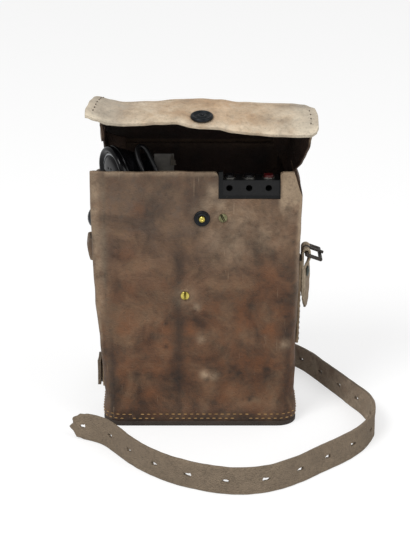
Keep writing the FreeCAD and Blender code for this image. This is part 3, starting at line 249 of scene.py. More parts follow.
def leather(name, tones, rough=(0.5, 0.8), grain=1.6, relief=0.5):
    # Vegetable-tanned hide, oiled and worn: blotches of oil and damp 10 to 40 mm wide, pores near 1.5 mm,
    # pale scuffs and dark grime where the piece's wear and soil attributes put them.
    deep, mid, light, warm, grey, pale, soil = tones.split()
    material, add, mm = begin(name)
    blotch, fleck, crease = (
        add("TexNoise", {"Vector": mm, "Scale": 1 / wide, "Detail": detail, "Roughness": rugged,
                         "Distortion": swirl})
        for wide, detail, rugged, swirl in ((42, 7, 0.62, 0.7), (3.2, 6, 0.75, 0), (7, 8, 0.7, 0.9)))
    base = add("ValToRGB", {"Fac": blotch}, stops=((0.39, deep), (0.5, mid), (0.61, light)))
    # Each attribute lays its tone in ragged patches, and closes them up where it is near 1.
    for key, tone, low, high, seed in (("warm", warm, 0.38, 0.60, 24.2), ("grey", grey, 0.36, 0.62, 23.4),
                                       ("soil", soil, 0.30, 0.60, 21.0), ("wear", pale, 0.30, 0.58, 21.0)):
        spread = add("Attribute", attribute_name=key).outputs["Fac"]
        patch = add("TexNoise", {"Vector": mm, "Scale": 1 / 13, "Detail": 6.0, "Roughness": 0.65,
                                 "W": seed}, noise_dimensions="4D")
        shaped = add("MapRange", {"Value": patch, "From Min": low, "From Max": high})
        doubled = add("Math", {0: spread, 1: 1.6}, operation="MULTIPLY")
        full = add("Math", {0: doubled, 1: 0.75}, operation="SUBTRACT", use_clamp=True)
        part = add("Math", {0: spread, 1: shaped}, operation="MULTIPLY")
        amount = add("Math", {0: part, 1: full}, operation="MAXIMUM", use_clamp=True)
        base = add("MixRGB", {"Fac": amount, "Color1": base, "Color2": colour(tone)})
    shade = add("ValToRGB", {"Fac": fleck}, stops=((0.3, 0.52), (0.5, 0.94), (0.66, 1.0)))
    base = add("MixRGB", {"Fac": 0.75, "Color1": base, "Color2": shade}, blend_type="MULTIPLY")
    # Fine upright scratches show the paler hide below.
    tilt = add("Mapping", {"Vector": mm, "Rotation": (0.3, 0.5, 0.2), "Scale": (0.9, 0.9, 0.05)})
    scratch = add("TexNoise", {"Vector": tilt, "Scale": 1 / 1.7, "Detail": 3.0, "Roughness": 0.5})
    line = add("ValToRGB", {"Fac": scratch}, stops=((0.70, 0.0), (0.76, 0.32)))
    base = add("MixRGB", {"Fac": line, "Color1": base, "Color2": colour(pale)})
    cloud = add("TexNoise", {"Vector": mm, "Scale": 1 / 21, "Detail": 6.0, "Roughness": 0.6, "W": 3.0,
                             "Distortion": 0.5}, noise_dimensions="4D")
    bright = add("MapRange", {"Value": cloud, "From Min": 0.3, "From Max": 0.7, "To Min": 0.88,
                              "To Max": 1.14})
    base = add("HueSaturation", {"Value": bright, "Color": base})
    pores = add("TexVoronoi", {"Vector": mm, "Scale": 1 / grain, "Randomness": 1.0}, feature="F1")
    height = add("Math", {0: crease, 1: 2.2}, operation="MULTIPLY")
    height = add("Math", {0: height, 1: pores}, operation="SUBTRACT")
    bump = add("Bump", {"Height": height, "Strength": relief, "Distance": 0.0009})
    dull = add("MapRange", {
        "Value": fleck, "From Min": 0.3, "From Max": 0.7, "To Min": rough[0], "To Max": rough[1]})
    shader = add("BsdfPrincipled", {
        "Base Color": base, "Roughness": dull, "Normal": bump, "Specular IOR Level": 0.35})
    add("OutputMaterial", {"Surface": shader})
    return material


def hard(name, tones, spot_mm, rough=(0.3, 0.5), metal=0.0, relief=0.05, chip=None, chip_at=0.68,
         shine=0.5):
    # A hard finish in two close tones, with fine pitting and, where chip is given, worn specks.
    base, other = tones.split()
    material, add, mm = begin(name)
    tone = add("TexNoise", {"Vector": mm, "Scale": 1 / spot_mm, "Detail": 6.0, "Roughness": 0.65})
    paint = add("ValToRGB", {"Fac": tone}, stops=((0.35, base), (0.65, other)))
    fine = add("TexNoise", {"Vector": mm, "Scale": 1 / 0.8, "Detail": 4.0, "Roughness": 0.6})
    if chip:
        specks = add("TexNoise", {"Vector": mm, "Scale": 1 / 2.6, "Detail": 5.0, "Roughness": 0.75})
        worn = add("ValToRGB", {"Fac": specks}, stops=((chip_at, 0.0), (chip_at + 0.04, 1.0)))
        paint = add("MixRGB", {"Fac": worn, "Color1": paint, "Color2": colour(chip)})
    dull = add("MapRange", {
        "Value": fine, "From Min": 0.3, "From Max": 0.7, "To Min": rough[0], "To Max": rough[1]})
    bump = add("Bump", {"Height": fine, "Strength": relief, "Distance": 0.0004})
    shader = add("BsdfPrincipled", {"Base Color": paint, "Roughness": dull, "Normal": bump,
                                    "Metallic": metal, "Specular IOR Level": shine})
    add("OutputMaterial", {"Surface": shader})
    return material


# The hides. Tones in turn: deep, mid, light, warm patches, grey patches, worn pale, grime.
# Harness leather, oiled and handled: chocolate brown with rust and grey patches and rubbed tan edges.
case_hide = leather("oiled_harness_leather", "35271D 5A4534 765D47 7B4D2E 5F564C B7A085 27201B")
# Its flesh side, stained by damp and darkened further with painted shade: nearly black and dull.
case_lining_with_painted_shade = leather(
    "dark_flesh_side_leather_with_painted_shade", "17100C 21160F 2B1D14 33190F 241C17 4A3A2C 0E0A08", rough=(0.75, 0.95))
# Bridle leather bleached by the sun: pale tan, greyer at the ends, with orange-brown clouds.
lid_hide = leather(
    "sun_faded_bridle_leather", "9E8B75 C2AE94 D8C8B0 BB8F62 B1A99B E0D3BC 6F5F4F", rough=(0.55, 0.85))
# Waxed sole leather: a smooth black-brown.
sole_hide = leather("waxed_sole_leather", "241D19 322923 40352C 4A3426 3A3530 6E5E4E 15110F")
# Strap leather that has dried out: grey tan, matt and cracked. Its flesh side is darker and fibrous, and its
# cut edges, the walls of the holes among them, are darkened with painted shade.
strap_hide = leather(
    "dry_cracked_strap_leather", "52443A 746152 8B7865 7E5B3D 756C62 B3A18B 2E251F",
    rough=(0.7, 0.95), grain=1.2, relief=0.9)
strap_flesh_and_hole_shade = leather(
    "dark_strap_flesh_side_and_hole_shade", "2E2620 41362D 54473B 4C3626 4A433B 8A7A67 1D1713",
    rough=(0.75, 0.95), grain=1.2, relief=0.9)
# Thin soft leather of the gores, dark brown outside and darker still inside, where painted shade is part of
# its tone.
gore_hide = leather("soft_gore_leather", "3A2B21 4E3C2F 5F4B3B 5E3D28 4A3F37 8E7A62 1E1712")
gore_lining_with_painted_shade = leather(
    "soft_gore_flesh_side_with_painted_shade", "1E1410 2B1D16 3A281E 42271A 2B221C 6A5644 120C09", rough=(0.75, 0.95))
# Strips on the case's sides: brown, rubbed pale along their edges.
side_hide = leather("rubbed_strip_leather", "4A3A30 66523F 7C6650 7A4E33 5F574E A89276 262019")
# The buckle's chape, bleached and dry: light tan with dark cracks.
chape_hide = leather(
    "weathered_chape_leather", "6C5A4B 89745F A28C74 8A6446 857B70 CDBBA0 2E241D",
    rough=(0.6, 0.9), grain=1.2, relief=0.9)

# Waxed linen thread, tan, and the same black with grime: both dull.
thread = hard("waxed_linen_thread", "B48F5C 8E6E45", 9.0, rough=(0.7, 0.9), relief=0.4)
dark_thread = hard("grimed_linen_thread", "4A3A2A 2F261D", 7.0, rough=(0.7, 0.9), relief=0.4)
# Vulcanised rubber lead: black with a soft sheen and a little bloom.
cord_rubber = hard("vulcanised_rubber", "0C0C0D 1B1B1D", 6.0, rough=(0.28, 0.46), relief=0.12)
# Phenolic moulding polished by use: black with sharp reflections. Its holes are only near-black discs of
# painted shade.
bakelite = hard(
    "polished_phenolic_moulding", "060607 0E0E10", 11.0, rough=(0.12, 0.22), relief=0.03, shine=0.16)
hole_shade_discs = hard("painted_hole_shade", "030303 070707", 3.0, rough=(0.8, 0.9))
# Blackened brass: blue-black with brown specks where it is rubbed.
worn_black_metal = hard(
    "blackened_brass_with_worn_edges", "15171A 22262A", 5.0,
    rough=(0.32, 0.5), metal=0.75, relief=0.2, chip="6B6152", chip_at=0.66)
# Turned brass kept bright by fingers: yellow with dark pits.
bright_brass = hard(
    "handled_brass", "D6C66C A2923F", 3.0,
    rough=(0.22, 0.38), metal=0.9, relief=0.1, chip="4A3A1C", chip_at=0.66)
# Tarnished brass: olive and dull.
olive_brass = hard(
    "tarnished_olive_brass", "85825E 56543C", 2.6,
    rough=(0.4, 0.6), metal=0.6, relief=0.25, chip="A79A5A", chip_at=0.62)
# Brass gone green under old blacking.
green_black_brass = hard(
    "greened_rivet_brass", "272C27 3A443A", 2.2,
    rough=(0.35, 0.55), metal=0.6, relief=0.3, chip="A9A48C", chip_at=0.64)
# Torn card: grey, matt and fibrous.
torn_card = hard("torn_grey_card", "6F685D 554E45", 4.0, rough=(0.8, 0.95), relief=0.5)


# Camera, floor and lights

PHOTO_HEIGHT = 547
FOCAL_PIXELS = 1800
LOOK_DOWN = 20.5
FLOOR_GLOW = 0.555
WORLD_LIGHT = 0.62
LAMP_AIM = Vector((0, 0, 0.15))

view = bpy.data.cameras.new("camera")
view.sensor_width = 36.0
view.lens = FOCAL_PIXELS / PHOTO_HEIGHT * view.sensor_width
camera = put("camera", view)
camera.location = (0.005, -1.61042, 0.74548)
camera.rotation_euler = (radians(90 - LOOK_DOWN), 0, 0)
scene.camera = camera
scene.view_settings.view_transform = "Standard"

# A matt white studio floor: plain, with the object's own soft shadow.
paper, add, _ = begin("matt_white_floor")
ray = add("LightPath")
seen = add("Math", {0: ray.outputs["Is Camera Ray"], 1: ray.outputs["Is Glossy Ray"]},
           operation="MAXIMUM")
seen = add("Math", {0: seen, 1: ray.outputs["Is Transmission Ray"]}, operation="MAXIMUM")
lift = add("Math", {0: seen, 1: FLOOR_GLOW}, operation="MULTIPLY")
glow = add("Emission", {"Color": (1, 1, 1, 1), "Strength": lift})
matt = add("BsdfDiffuse", {"Color": (0.50, 0.50, 0.50, 1)})
add("OutputMaterial", {"Surface": add("AddShader", {0: matt, 1: glow})})
bm = bmesh.new()
bmesh.ops.create_grid(bm, x_segments=1, y_segments=1, size=12.0)
ground = bpy.data.meshes.new("floor")
bm.to_mesh(ground)
bm.free()
ground.materials.append(paper)
put("floor", ground)

world = bpy.data.worlds.new("studio")
world.use_nodes = True
scene.world = world
world.node_tree.nodes.clear()
add = partial(add_node, world.node_tree)
ray = add("LightPath")
seen = add("Math", {0: ray.outputs["Is Camera Ray"], 1: ray.outputs["Is Transmission Ray"]},
           operation="MAXIMUM")
strength = add("MapRange", {"Value": seen, "To Min": WORLD_LIGHT, "To Max": 1.0})
sky = add("Background", {"Color": (1, 1, 1, 1), "Strength": strength})
add("OutputWorld", {"Surface": sky})

for name, place, size, power in (("key_lamp", (-1.1, -1.5, 2.0), 1.1, 34),
                                 ("fill_lamp", (1.6, -1.2, 1.3), 1.4, 12)):
    light = bpy.data.lights.new(name, "AREA")
    light.shape = "DISK"
    light.size = size
    light.energy = power
    lamp = put(name, light)
    lamp.location = place
    lamp.rotation_euler = (LAMP_AIM - Vector(place)).to_track_quat("-Z", "Y").to_euler()


# The carrying strap, standing on its edge on the floor

STRAP_WIDE = 25.0
STRAP_THICK = 3.0
STRAP_LINE = [(-97, -13, 46), (-97, -2, 46), (-97, 10, 46), (-97, 39, 29.2)] + [
    (x, y, 12.5) for x, y in (
        (-97, 68), (-97, 92), (-78, 118), (-46, 134), (-6, 142), (36, 142), (76, 130), (104, 104), (120, 73),
        (135, 42), (151, 9), (163, -17), (168, -45), (159, -77), (138, -107), (110, -133), (83, -161),
        (51, -177), (18, -176), (-15, -162), (-45, -139), (-66, -112), (-82, -84), (-97, -67), (-125, -57))]
HOLE_PITCH = 36.5
HOLE_COUNT = 17
FIRST_HOLE = 14.0
HOLE_HALF_LONG, HOLE_HALF_TALL = 4.0, 1.45
TORN_END = 22
FLOOR_GAP = 0.4


def carrying_strap():
    path = route(STRAP_LINE)
    at, whole = measured(path)
    columns, rows = 640, 12
    step = whole / columns
    bm = sheet(columns, rows, lambda u, v: (u * whole, (v - 0.5) * STRAP_WIDE, 0))
    holes = [whole - FIRST_HOLE - i * HOLE_PITCH for i in range(HOLE_COUNT)]

    def in_hole(co):
        hole = min(holes, key=lambda h: abs(h - co.x))
        return hole, hypot((co.x - hole) / HOLE_HALF_LONG, co.y / HOLE_HALF_TALL)

    cut_out(bm, lambda c: in_hole(c)[1] < 1.0)
    for vert in bm.verts:
        hole, far_out = in_hole(vert.co)
        if vert.is_boundary and 0.01 < far_out < 1.6:
            vert.co.x = hole + (vert.co.x - hole) / far_out
            vert.co.y = vert.co.y / far_out
    # How many degrees the strap leans outwards along its run.
    leaning = ((150, 0), (260, 5), (470, -4), (600, 9), (760, 6), (whole, 12))
    for vert in bm.verts:
        s, v = vert.co.x, vert.co.y
        torn = smooth(whole - TORN_END, whole, s)
        s -= torn * (3.5 + 3.5 * ripple(v, 0, 0, 5) + 0.05 * v * v)
        v *= 1 + 0.03 * ripple(s, 7, 0, 22) - 0.10 * torn
        way = (at(s + step)[0] - at(s - step)[0]).normalized()
        up = (UP - way * UP.dot(way)).normalized()
        out = way.cross(up)
        lean = radians(between(leaning, s))
        sway = 0.7 * ripple(s, v, 3, 30) + 0.35 * ripple(s, v, 9, 8)
        vert.co = at(s)[0] + (up * cos(lean) + out * sin(lean)) * v + out * sway
        vert.co.z = max(vert.co.z, FLOOR_GAP)
    # The second finish also covers the cut edges, so the walls of the holes carry painted shade.
    made = piece("carrying_strap_leather", bm, "case", "strap_leather", [strap_hide, strap_flesh_and_hole_shade],
                 ("carrying_strap",), wall=STRAP_THICK, middle=True, edge=0.5, dark_rim=True,
                 wear=lambda x, y, z: 0.55 + 0.5 * smooth(60, -60, y),
                 soil=lambda x, y, z: 0.42 + 0.4 * smooth(-60, -110, x), warm=0.75, grey=0.6)


carrying_strap()


# The handset's cord: up from the foot of the handset, over at the top and down to the chassis

CORD_R = 2.4
CORD_LINE = [
    (-35, 14, 59.4), (-36, 13, 45), (-36, 9, 33), (-34, 0, 26), (-31, -11, 28), (-29, -19, 40),
    (-29, -22, 58), (-30, -22, 84), (-29, -22, 112), (-30, -21, 142), (-30, -21, 172), (-30, -18, 199),
    (-33, -11, 222), (-38, -6, 241), (-43, -3, 253), (-47, 0.5, 261), (-50, 3, 266.5), (-54.5, 4, 269.5),
    (-58, 0.5, 268), (-58, -6, 262), (-54, -10.5, 252), (-50.5, -11, 240), (-44, -10, 225),
    (-39.5, -10, 214), (-34.5, -9.5, 206.5), (-27, -9.5, 206.5)]


def tube(path, radius, around, along):
    # A closed round tube along a path, with no twist.
    at, whole = measured(path)
    frames = []
    side = BACK
    for i in range(along + 1):
        s = whole * i / along
        way = (at(s + 1.0)[0] - at(s - 1.0)[0]).normalized()
        side = (side - way * side.dot(way)).normalized()
        frames.append((at(s)[0], side.copy(), way.cross(side)))

    def place(u, v):
        middle, a, b = frames[round(v * along)]
        angle = 2 * pi * u
        return middle + (a * cos(angle) + b * sin(angle)) * radius

    bm = sheet(around, along, place)
    bmesh.ops.remove_doubles(bm, verts=bm.verts, dist=0.001)
    for rim in (0, -1):
        middle = frames[rim][0]
        loose = [e for e in bm.edges if e.is_boundary and (e.verts[0].co - middle).length < radius * 1.4]
        bmesh.ops.contextual_create(bm, geom=loose)
    bmesh.ops.recalc_face_normals(bm, faces=bm.faces)
    return bm


cord_path = route(CORD_LINE)
cord = piece("handset_cord_rubber", tube(cord_path, CORD_R, 14, 260), None, "cord_rubber", [cord_rubber],
             ("handset_cord",))
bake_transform(cord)


# The leather case: one hide wrapped round the front and sides, and a separate back

BASE_HALF_WIDTH = 90.5
HALF_DEPTH = 34.0
RIM_Z = 255.0
RIM_LEFT_FRONT = -89.0
RIM_LEFT_REAR = -102.5
RIM_RIGHT = 95.5
FOOT_RADIUS = 16.0
RIM_RADII = (6.5, 6.5, 14, 14)
HIDE = 3.5
SOLE = 5.0
WRAP_FOOT = 4.4
WELT_PROUD = 2.4
BACK_FOOT, BACK_TOP = 4.6, 264.0
BACK_HALF = 73.5
REAR_RIGHT_LEAN = 6.5
NOTCH = (17.4, 74.6, 229)
# How far the left front edge has opened out, by height.
LIP = ((22, 0), (45, 2.4), (84, 5.2), (130, 8.2), (172, 10.2), (200, 10.9), (222, 11), (255, 11))
# Columns of the sheet by stretch: back, corner, left, corner, front, corner, right, corner, back.
COLUMN_COUNTS = (3, 8, 16, 8, 76, 8, 16, 8, 3)
WRAP_ROWS = 104
FRONT_FITTINGS = SNAP, UPPER_SCREW, LOWER_SCREW = ((2.2, 210.5), (21.6, 211.0), (-13.8, 134.1))

# Marks on the front, by x and z: holes and dark specks, red-brown patches, pale scuffs and worn places.
SPECKS = ((48, 27), (7, 48), (-32, 106), (-32, 82), (81, 113), (79, 192), (87, 187))
RUDDY = ((-73, 99), (-76, 56), (-33, 101), (-33, 82), (-9, 99), (57, 67), (24, 29), (66, 99), (-57, 219),
         (-69, 175), (-48, 32))
SCUFFS = ((13, 52), (5, 53), (2, 90), (-4, 122), (81, 84))
BY_NOTCH = ((13, 236), (21, 222), (26, 213), (8, 224))
HANDLED = ((40, 212), (62, 196), (30, 186))
BELOW_NOTCH = ((-30, 240), (-5, 232), (-45, 215))
# Upright bands on the front, of grime, and at the left crease (x -89.3) of painted shade: strength, x, reach,
# and the heights between which it fades in.
GRIME_AND_CREASE_SHADE_BANDS = ((0.85, -20, 6.0, 222, 150), (0.95, -89.3, 1.9, 20, 60), (0.85, 84, 8, 150, 90),
               (0.95, -84, 7, 150, 60))


def meet(p, d, q, e):
    # Where the lines from p along d and from q along e cross.
    cross = d[0] * e[1] - d[1] * e[0]
    along = ((q[0] - p[0]) * e[1] - (q[1] - p[1]) * e[0]) / cross
    return (p[0] + along * d[0], p[1] + along * d[1])


def case_outline(grow, share):
    # The case's four corners and their radii, share of the way up from the sole to the rim.
    corners = []
    for rim_x, way in ((RIM_LEFT_FRONT, -1), (RIM_RIGHT, -1), (RIM_RIGHT, 1), (RIM_LEFT_REAR, 1)):
        foot_x = copysign(BASE_HALF_WIDTH, rim_x)
        corners.append((foot_x + (rim_x - foot_x) * share, way * HALF_DEPTH))
    radii = [FOOT_RADIUS + (r - FOOT_RADIUS) * share + grow for r in RIM_RADII]
    sides = []
    for i, p in enumerate(corners):
        q = corners[(i + 1) % 4]
        length = hypot(q[0] - p[0], q[1] - p[1])
        d = ((q[0] - p[0]) / length, (q[1] - p[1]) / length)
        sides.append(((p[0] + d[1] * grow, p[1] - d[0] * grow), d))
    return [meet(*sides[i - 1], *s) for i, s in enumerate(sides)], radii


def ring_of_wall(z, grow):
    # Points round the case at one height, from the seam at the back left, past the front, to the back right.
    share = (min(max(z, SOLE), RIM_Z) - SOLE) / (RIM_Z - SOLE)
    corners, radii = case_outline(grow, share)
    arcs = []
    for i, p in enumerate(corners):
        here = Vector(p)
        a = (Vector(corners[i - 1]) - here).normalized()
        b = (Vector(corners[(i + 1) % 4]) - here).normalized()
        half = a.angle(b) / 2
        centre = here + (a + b).normalized() * (radii[i] / sin(half))
        start = here + a * (radii[i] / tan(half)) - centre
        finish = here + b * (radii[i] / tan(half)) - centre
        arcs.append([centre + start.slerp(finish, k / 8).normalized() * radii[i] for k in range(9)])
    arcs = arcs[3:] + arcs[:3]
    stops = [Vector((-BACK_HALF, HALF_DEPTH + grow))]
    for arc in arcs:
        stops += [arc[0], arc[-1]]
    stops.append(Vector((BACK_HALF, HALF_DEPTH + grow)))
    points = []
    for k, count in enumerate(COLUMN_COUNTS):
        if k % 2:
            points += arcs[k // 2][:-1]
        else:
            points += [stops[k].lerp(stops[k + 1], j / count) for j in range(count)]
    points.append(stops[-1])
    # The left front edge has opened out into a soft lip, most of all near the rim.
    flare = between(LIP, z)
    for point in points:
        if point.x < -70:
            point.x -= flare * smooth(-34.2, -29.5, point.y) * smooth(-10, -27, point.y)
    return points


def foot_swell(z):
    # The wall stands out over its sewn foot and tucks in again above the sole.
    return WELT_PROUD * (1 - smooth(12.5, 27, z)) * (0.62 + 0.38 * smooth(4, 10, z))


wall_rings = {}


def wall_point(i, z):
    # A point of the wall and the way it faces, read between the rings at whole heights.
    low = floor(z)
    for level in (low, low + 1):
        if level not in wall_rings:
            wall_rings[level] = ring_of_wall(level, foot_swell(level))
    ring, above = wall_rings[low], wall_rings[low + 1]
    way = (ring[min(i + 1, len(ring) - 1)] - ring[max(i - 1, 0)]).normalized()
    return ring[i].lerp(above[i], z - low), Vector((way.y, -way.x))


def rim_dip(x, y):
    # The right front corner has slumped: its rim falls away outwards and recovers towards the back.
    # The left side has sagged beside the handset, behind the lip.
    right = 25.0 * min(1.0, max(0.0, (x - 87.4) / 7.8)) * smooth(14, -27, y)
    return right + 16.0 * smooth(-84, -94, x) * smooth(-27.5, -20, y)


def front_relief(x, y, z):
    # Sag and buckling of the old hide, calm round the fittings and under the side straps.
    calm = smooth(0, 26, z)
    if y < -20:
        calm *= 1 - near(x, z, FRONT_FITTINGS, 13)
        belly = 1.2 * sin(pi * smooth(20, 250, z)) * bell(x + 5, 60)
        belly -= 0.9 * bell(x + 17, 9) * smooth(215, 150, z) * smooth(20, 60, z)
    else:
        calm *= 1 - 0.9 * exp(-((y + 1) / 17) ** 4)
        belly = 0.0
    long_wave = 1.1 * ripple(x, y, z, 55) + 0.6 * ripple(x + 40, y, z, 24) + 0.25 * ripple(x, y + 9, z, 10)
    rim = smooth(228, RIM_Z, z) * 0.9 * ripple(x * 1.4, y, 3, 17)
    return calm * max(-0.8, belly + long_wave) + rim * calm


def case_wrap():
    columns = sum(COLUMN_COUNTS)
    below_rim = RIM_Z - 0.01

    def place(u, v):
        i = round(u * columns)
        at_rim, _ = wall_point(i, below_rim)
        z = WRAP_FOOT + v * (RIM_Z - rim_dip(*at_rim) - WRAP_FOOT)
        point, facing = wall_point(i, min(z, below_rim))
        x, y = point + facing * front_relief(*point, z)
        dip = 0.8 * ripple(x, y, 5, 26) * smooth(240, RIM_Z, z)
        if x > 80:
            x -= REAR_RIGHT_LEAN * smooth(229, 256, z) * smooth(-30, -12, y)
        return x, y, z + dip

    bm = sheet(columns, WRAP_ROWS, place)
    # The notch for the line sockets: cut lines first, then the faces between them.
    left, right, foot = NOTCH
    for at, normal in (((left, 0, 0), (1, 0, 0)), ((right, 0, 0), (1, 0, 0)), ((0, 0, foot), (0, 0, 1))):
        chosen = [f for f in bm.faces if f.calc_center_median().y < -29 and f.calc_center_median().z > 215]
        geom = list({v for f in chosen for v in f.verts} | {e for f in chosen for e in f.edges}) + chosen
        bmesh.ops.bisect_plane(bm, geom=geom, dist=0.01, plane_co=at, plane_no=normal)
    cut_out(bm, lambda c: left < c.x < right and c.z > foot and c.y < -28)
    # Round the notch's upper left corner and the shoulder at its right.
    for corner_x, way, radius in ((left, -1, 5.0), (right, 1, 4.0)):
        cx, cz = corner_x + way * radius, RIM_Z - radius
        for vert in bm.verts:
            dx, dz = (vert.co.x - cx) * -way, vert.co.z - cz
            if vert.co.y < -28 and 0 < dx < radius + 0.6 and 0 < dz < radius + 1.5:
                far_out = hypot(dx, dz)
                if far_out > radius:
                    vert.co.x = cx - way * dx * radius / far_out
                    vert.co.z = cz + dz * radius / far_out

    def wear(x, y, z):
        front = smooth(-28, -32, y)
        edge_right = bell(x - 93.5, 3.2) * smooth(-20, -30, y) * (0.45 + 0.55 * smooth(90, 240, z))
        post = front * smooth(71, 77, x) * smooth(195, 238, z)
        # A pale line down the front-left corner and a pale lip beside it: rubbed wear with a painted
        # highlight.
        crease = bell(x + 90 - (255 - z) * 0.012, 3.0) * (0.3 + 0.7 * smooth(60, 200, z))
        rim = 0.55 * smooth(249, 255, z)
        lip = 0.5 * smooth(-91.5, -94, x) * smooth(-22, -29, y)
        marks = [share * front * near(x, z, spots, reach) for share, reach, spots in (
            (0.5, 7, BY_NOTCH), (0.4, 10, FRONT_FITTINGS), (0.38, 24, HANDLED), (0.75, 4.5, SCUFFS))]
        return min(1.0, max(edge_right, post, 0.32 * crease * smooth(-20, -28, y), rim, lip, *marks))

    def soil(x, y, z):
        front = smooth(-28, -32, y)
        # The narrow band along the left crease is painted shade.
        bands = [share * front * bell(x - at, reach) * smooth(low, high, z)
                 for share, at, reach, low, high in GRIME_AND_CREASE_SHADE_BANDS]
        specks = 1.3 * front * near(x, z, SPECKS, 2.3)
        below_notch = 0.45 * front * near(x, z, BELOW_NOTCH, 14)
        return min(1.0, max(specks, below_notch, 0.9 * smooth(26, 4, z), 0.45 * (1 - front), *bands))

    def warm(x, y, z):
        clouds = 0.25 + 0.2 * smooth(225, 90, z) + 0.5 * max(0.0, ripple(x, 3, z, 26))
        return max(0.85 * near(x, z, RUDDY, 13), clouds)

    def grey(x, y, z):
        return (0.12 + 0.56 * smooth(120, 235, z)) * (1 - 0.55 * smooth(-10, 60, x))

    # The inner side takes the near-black flesh-side finish, which is partly painted shade.
    piece("case_wrap_leather", bm, "case", "leather_case", [case_hide, case_lining_with_painted_shade],
          ("case_wrap", "base_welt"), wall=HIDE, edge=0.8, wear=wear, soil=soil, warm=warm, grey=grey)


case_wrap()


def case_back():
    def place(u, v):
        x = (2 * u - 1) * (BACK_HALF + 4)
        z = BACK_FOOT + v * (BACK_TOP - BACK_FOOT)
        bulge = 0.9 * sin(pi * v) * cos(x / 52)
        return x, HALF_DEPTH + 0.85 + foot_swell(z) + 0.5 * ripple(x, 0, z, 46) + bulge, z

    # The back's inner side and its cut top edge take the near-black flesh-side finish: painted shade on that
    # edge.
    piece("case_back_leather", sheet(52, 84, place, flip=True), "case", "leather_case",
          [case_hide, case_lining_with_painted_shade], ("case_back",), wall=HIDE, edge=0.8, dark_rim=True,
          wear=lambda x, y, z: 0.45 * smooth(60, 78, abs(x)) + 0.5 * smooth(255, 264, z),
          soil=lambda x, y, z: 0.55 * smooth(40, 5, z) + 0.25, warm=0.35, grey=0.35)
    spots = []
    for way in (-1, 1):
        for i in range(40):
            z = 12 + i * 6.1
            y = HALF_DEPTH + 1.3 + foot_swell(z) + 0.9 * sin(pi * (z / 262)) * cos(72 / 52)
            spots.append((Vector((way * 73.8, y, z)), UP, BACK))
    stitches("case_back_stitches", spots, "case", "leather_case", thread)


case_back()


def case_sole():
    ring = ring_of_wall(SOLE, WELT_PROUD)
    bm = bmesh.new()
    made = bmesh.ops.create_circle(bm, cap_ends=True, radius=1.0, segments=len(ring))
    for vert, point in zip(made["verts"], ring):
        vert.co = Vector((point.x, point.y, 0.0))
    bmesh.ops.recalc_face_normals(bm, faces=bm.faces)
    pull(bm, bm.faces[:], UP * SOLE)
    bmesh.ops.recalc_face_normals(bm, faces=bm.faces)
    sharp = [e for e in bm.edges if e.calc_face_angle(0) > 1.0]
    bmesh.ops.bevel(bm, geom=sharp, offset=1.3, segments=3, profile=0.5, affect="EDGES", material=-1)
    piece("case_sole_leather", bm, "case", "sole_leather", [sole_hide], ("case_base",),
          wear=0.15, soil=0.7, warm=0.2, grey=0.3)


case_sole()


def foot_stitches():
    # Two rows through the foot of the wrap, with a few threads worn away.
    pitch = 5.9
    spots = []
    for row, z in enumerate((8.2, 12.6)):
        at, whole = measured([Vector((p.x, p.y, z)) for p in ring_of_wall(z, foot_swell(z) + 0.15)])
        for i in range(int(whole / pitch)):
            if ripple(i, row * 9, 4, 3.1) > 0.42:
                continue
            middle, way = at((i + 0.5 * row) * pitch)
            facing = Vector((way.y, -way.x, 0)).normalized()
            lift = front_relief(middle.x, middle.y, z) + 0.1
            spots.append((middle + facing * lift, way + UP * (0.06 * ripple(i, 2, 2, 2)), facing))
    stitches("foot_stitches", spots, "case", "sole_leather", thread, length=3.9, width=1.1)


foot_stitches()


# The lid: its top and its turned-down front are one hide that bends at the fold

# The lines that the lid turns about, as (y, z) on the shut case, and how far each is turned here.
HINGE, OPEN = (35.5, 265.0), -50.5
FOLD, SPLAY = (-38.6, 259.0), -29.0
LID_HIDE = 3.0
# Three points of each arc of the shut lid's inner face.
LID_ARC = ((34.5, 265.4), (4, 273), (-38.1, 258))
FLAP_ARC = ((-38.6, 258.8), (-43.6, 231.1), (-38.6, 197))


def turned(point, centre, angle):
    a = radians(angle)
    y, z = point[0] - centre[0], point[1] - centre[1]
    return centre[0] + y * cos(a) - z * sin(a), centre[1] + y * sin(a) + z * cos(a)


def arc_through(a, b, c, count):
    # Points on the circle through three points, from a to c.
    (ax, ay), (bx, by), (cx, cy) = a, b, c
    d = 2 * (ax * (by - cy) + bx * (cy - ay) + cx * (ay - by))
    aa, bb, cc = ax * ax + ay * ay, bx * bx + by * by, cx * cx + cy * cy
    ux = (aa * (by - cy) + bb * (cy - ay) + cc * (ay - by)) / d
    uy = (aa * (cx - bx) + bb * (ax - cx) + cc * (bx - ax)) / d
    radius = hypot(ax - ux, ay - uy)
    centre, first, last = Vector((ux, uy)), Vector((ax - ux, ay - uy)), Vector((cx - ux, cy - uy))
    return [tuple(centre + first.slerp(last, k / count).normalized() * radius) for k in range(count + 1)]


def lid_line(up):
    # The open lid's top as (y, z), from the hinge to the fold, up above its inner face.
    return [turned(p, HINGE, OPEN) for p in arc_through(*[(y, z + up) for y, z in LID_ARC], 26)]


def flap_line(out):
    points = arc_through(*[(y - out, z) for y, z in FLAP_ARC], 22)
    return [turned(turned(p, FOLD, SPLAY), HINGE, OPEN) for p in points]


def bend(a, b, c, d, t):
    return a * (1 - t) ** 3 + b * 3 * t * (1 - t) ** 2 + c * 3 * t * t * (1 - t) + d * t ** 3


def fold_corner(top, flap):
    # The bend between the lid's top and its flap.
    a, b = Vector(top[-1]), Vector(flap[0])
    reach = (b - a).length * 0.6
    d, e = (a - Vector(top[-2])).normalized() * reach, (Vector(flap[1]) - b).normalized() * reach
    return [tuple(bend(a, a + d, b - e, b, k / 4)) for k in range(1, 4)]


top_line, front_line = lid_line(LID_HIDE), flap_line(LID_HIDE)
corner_line = fold_corner(top_line, front_line)
COVER = top_line + corner_line + front_line
COVER_ROWS = len(COVER) - 1
FOLD_ROW = len(top_line) + len(corner_line) / 2
fold_rest = turned(FOLD, HINGE, OPEN)

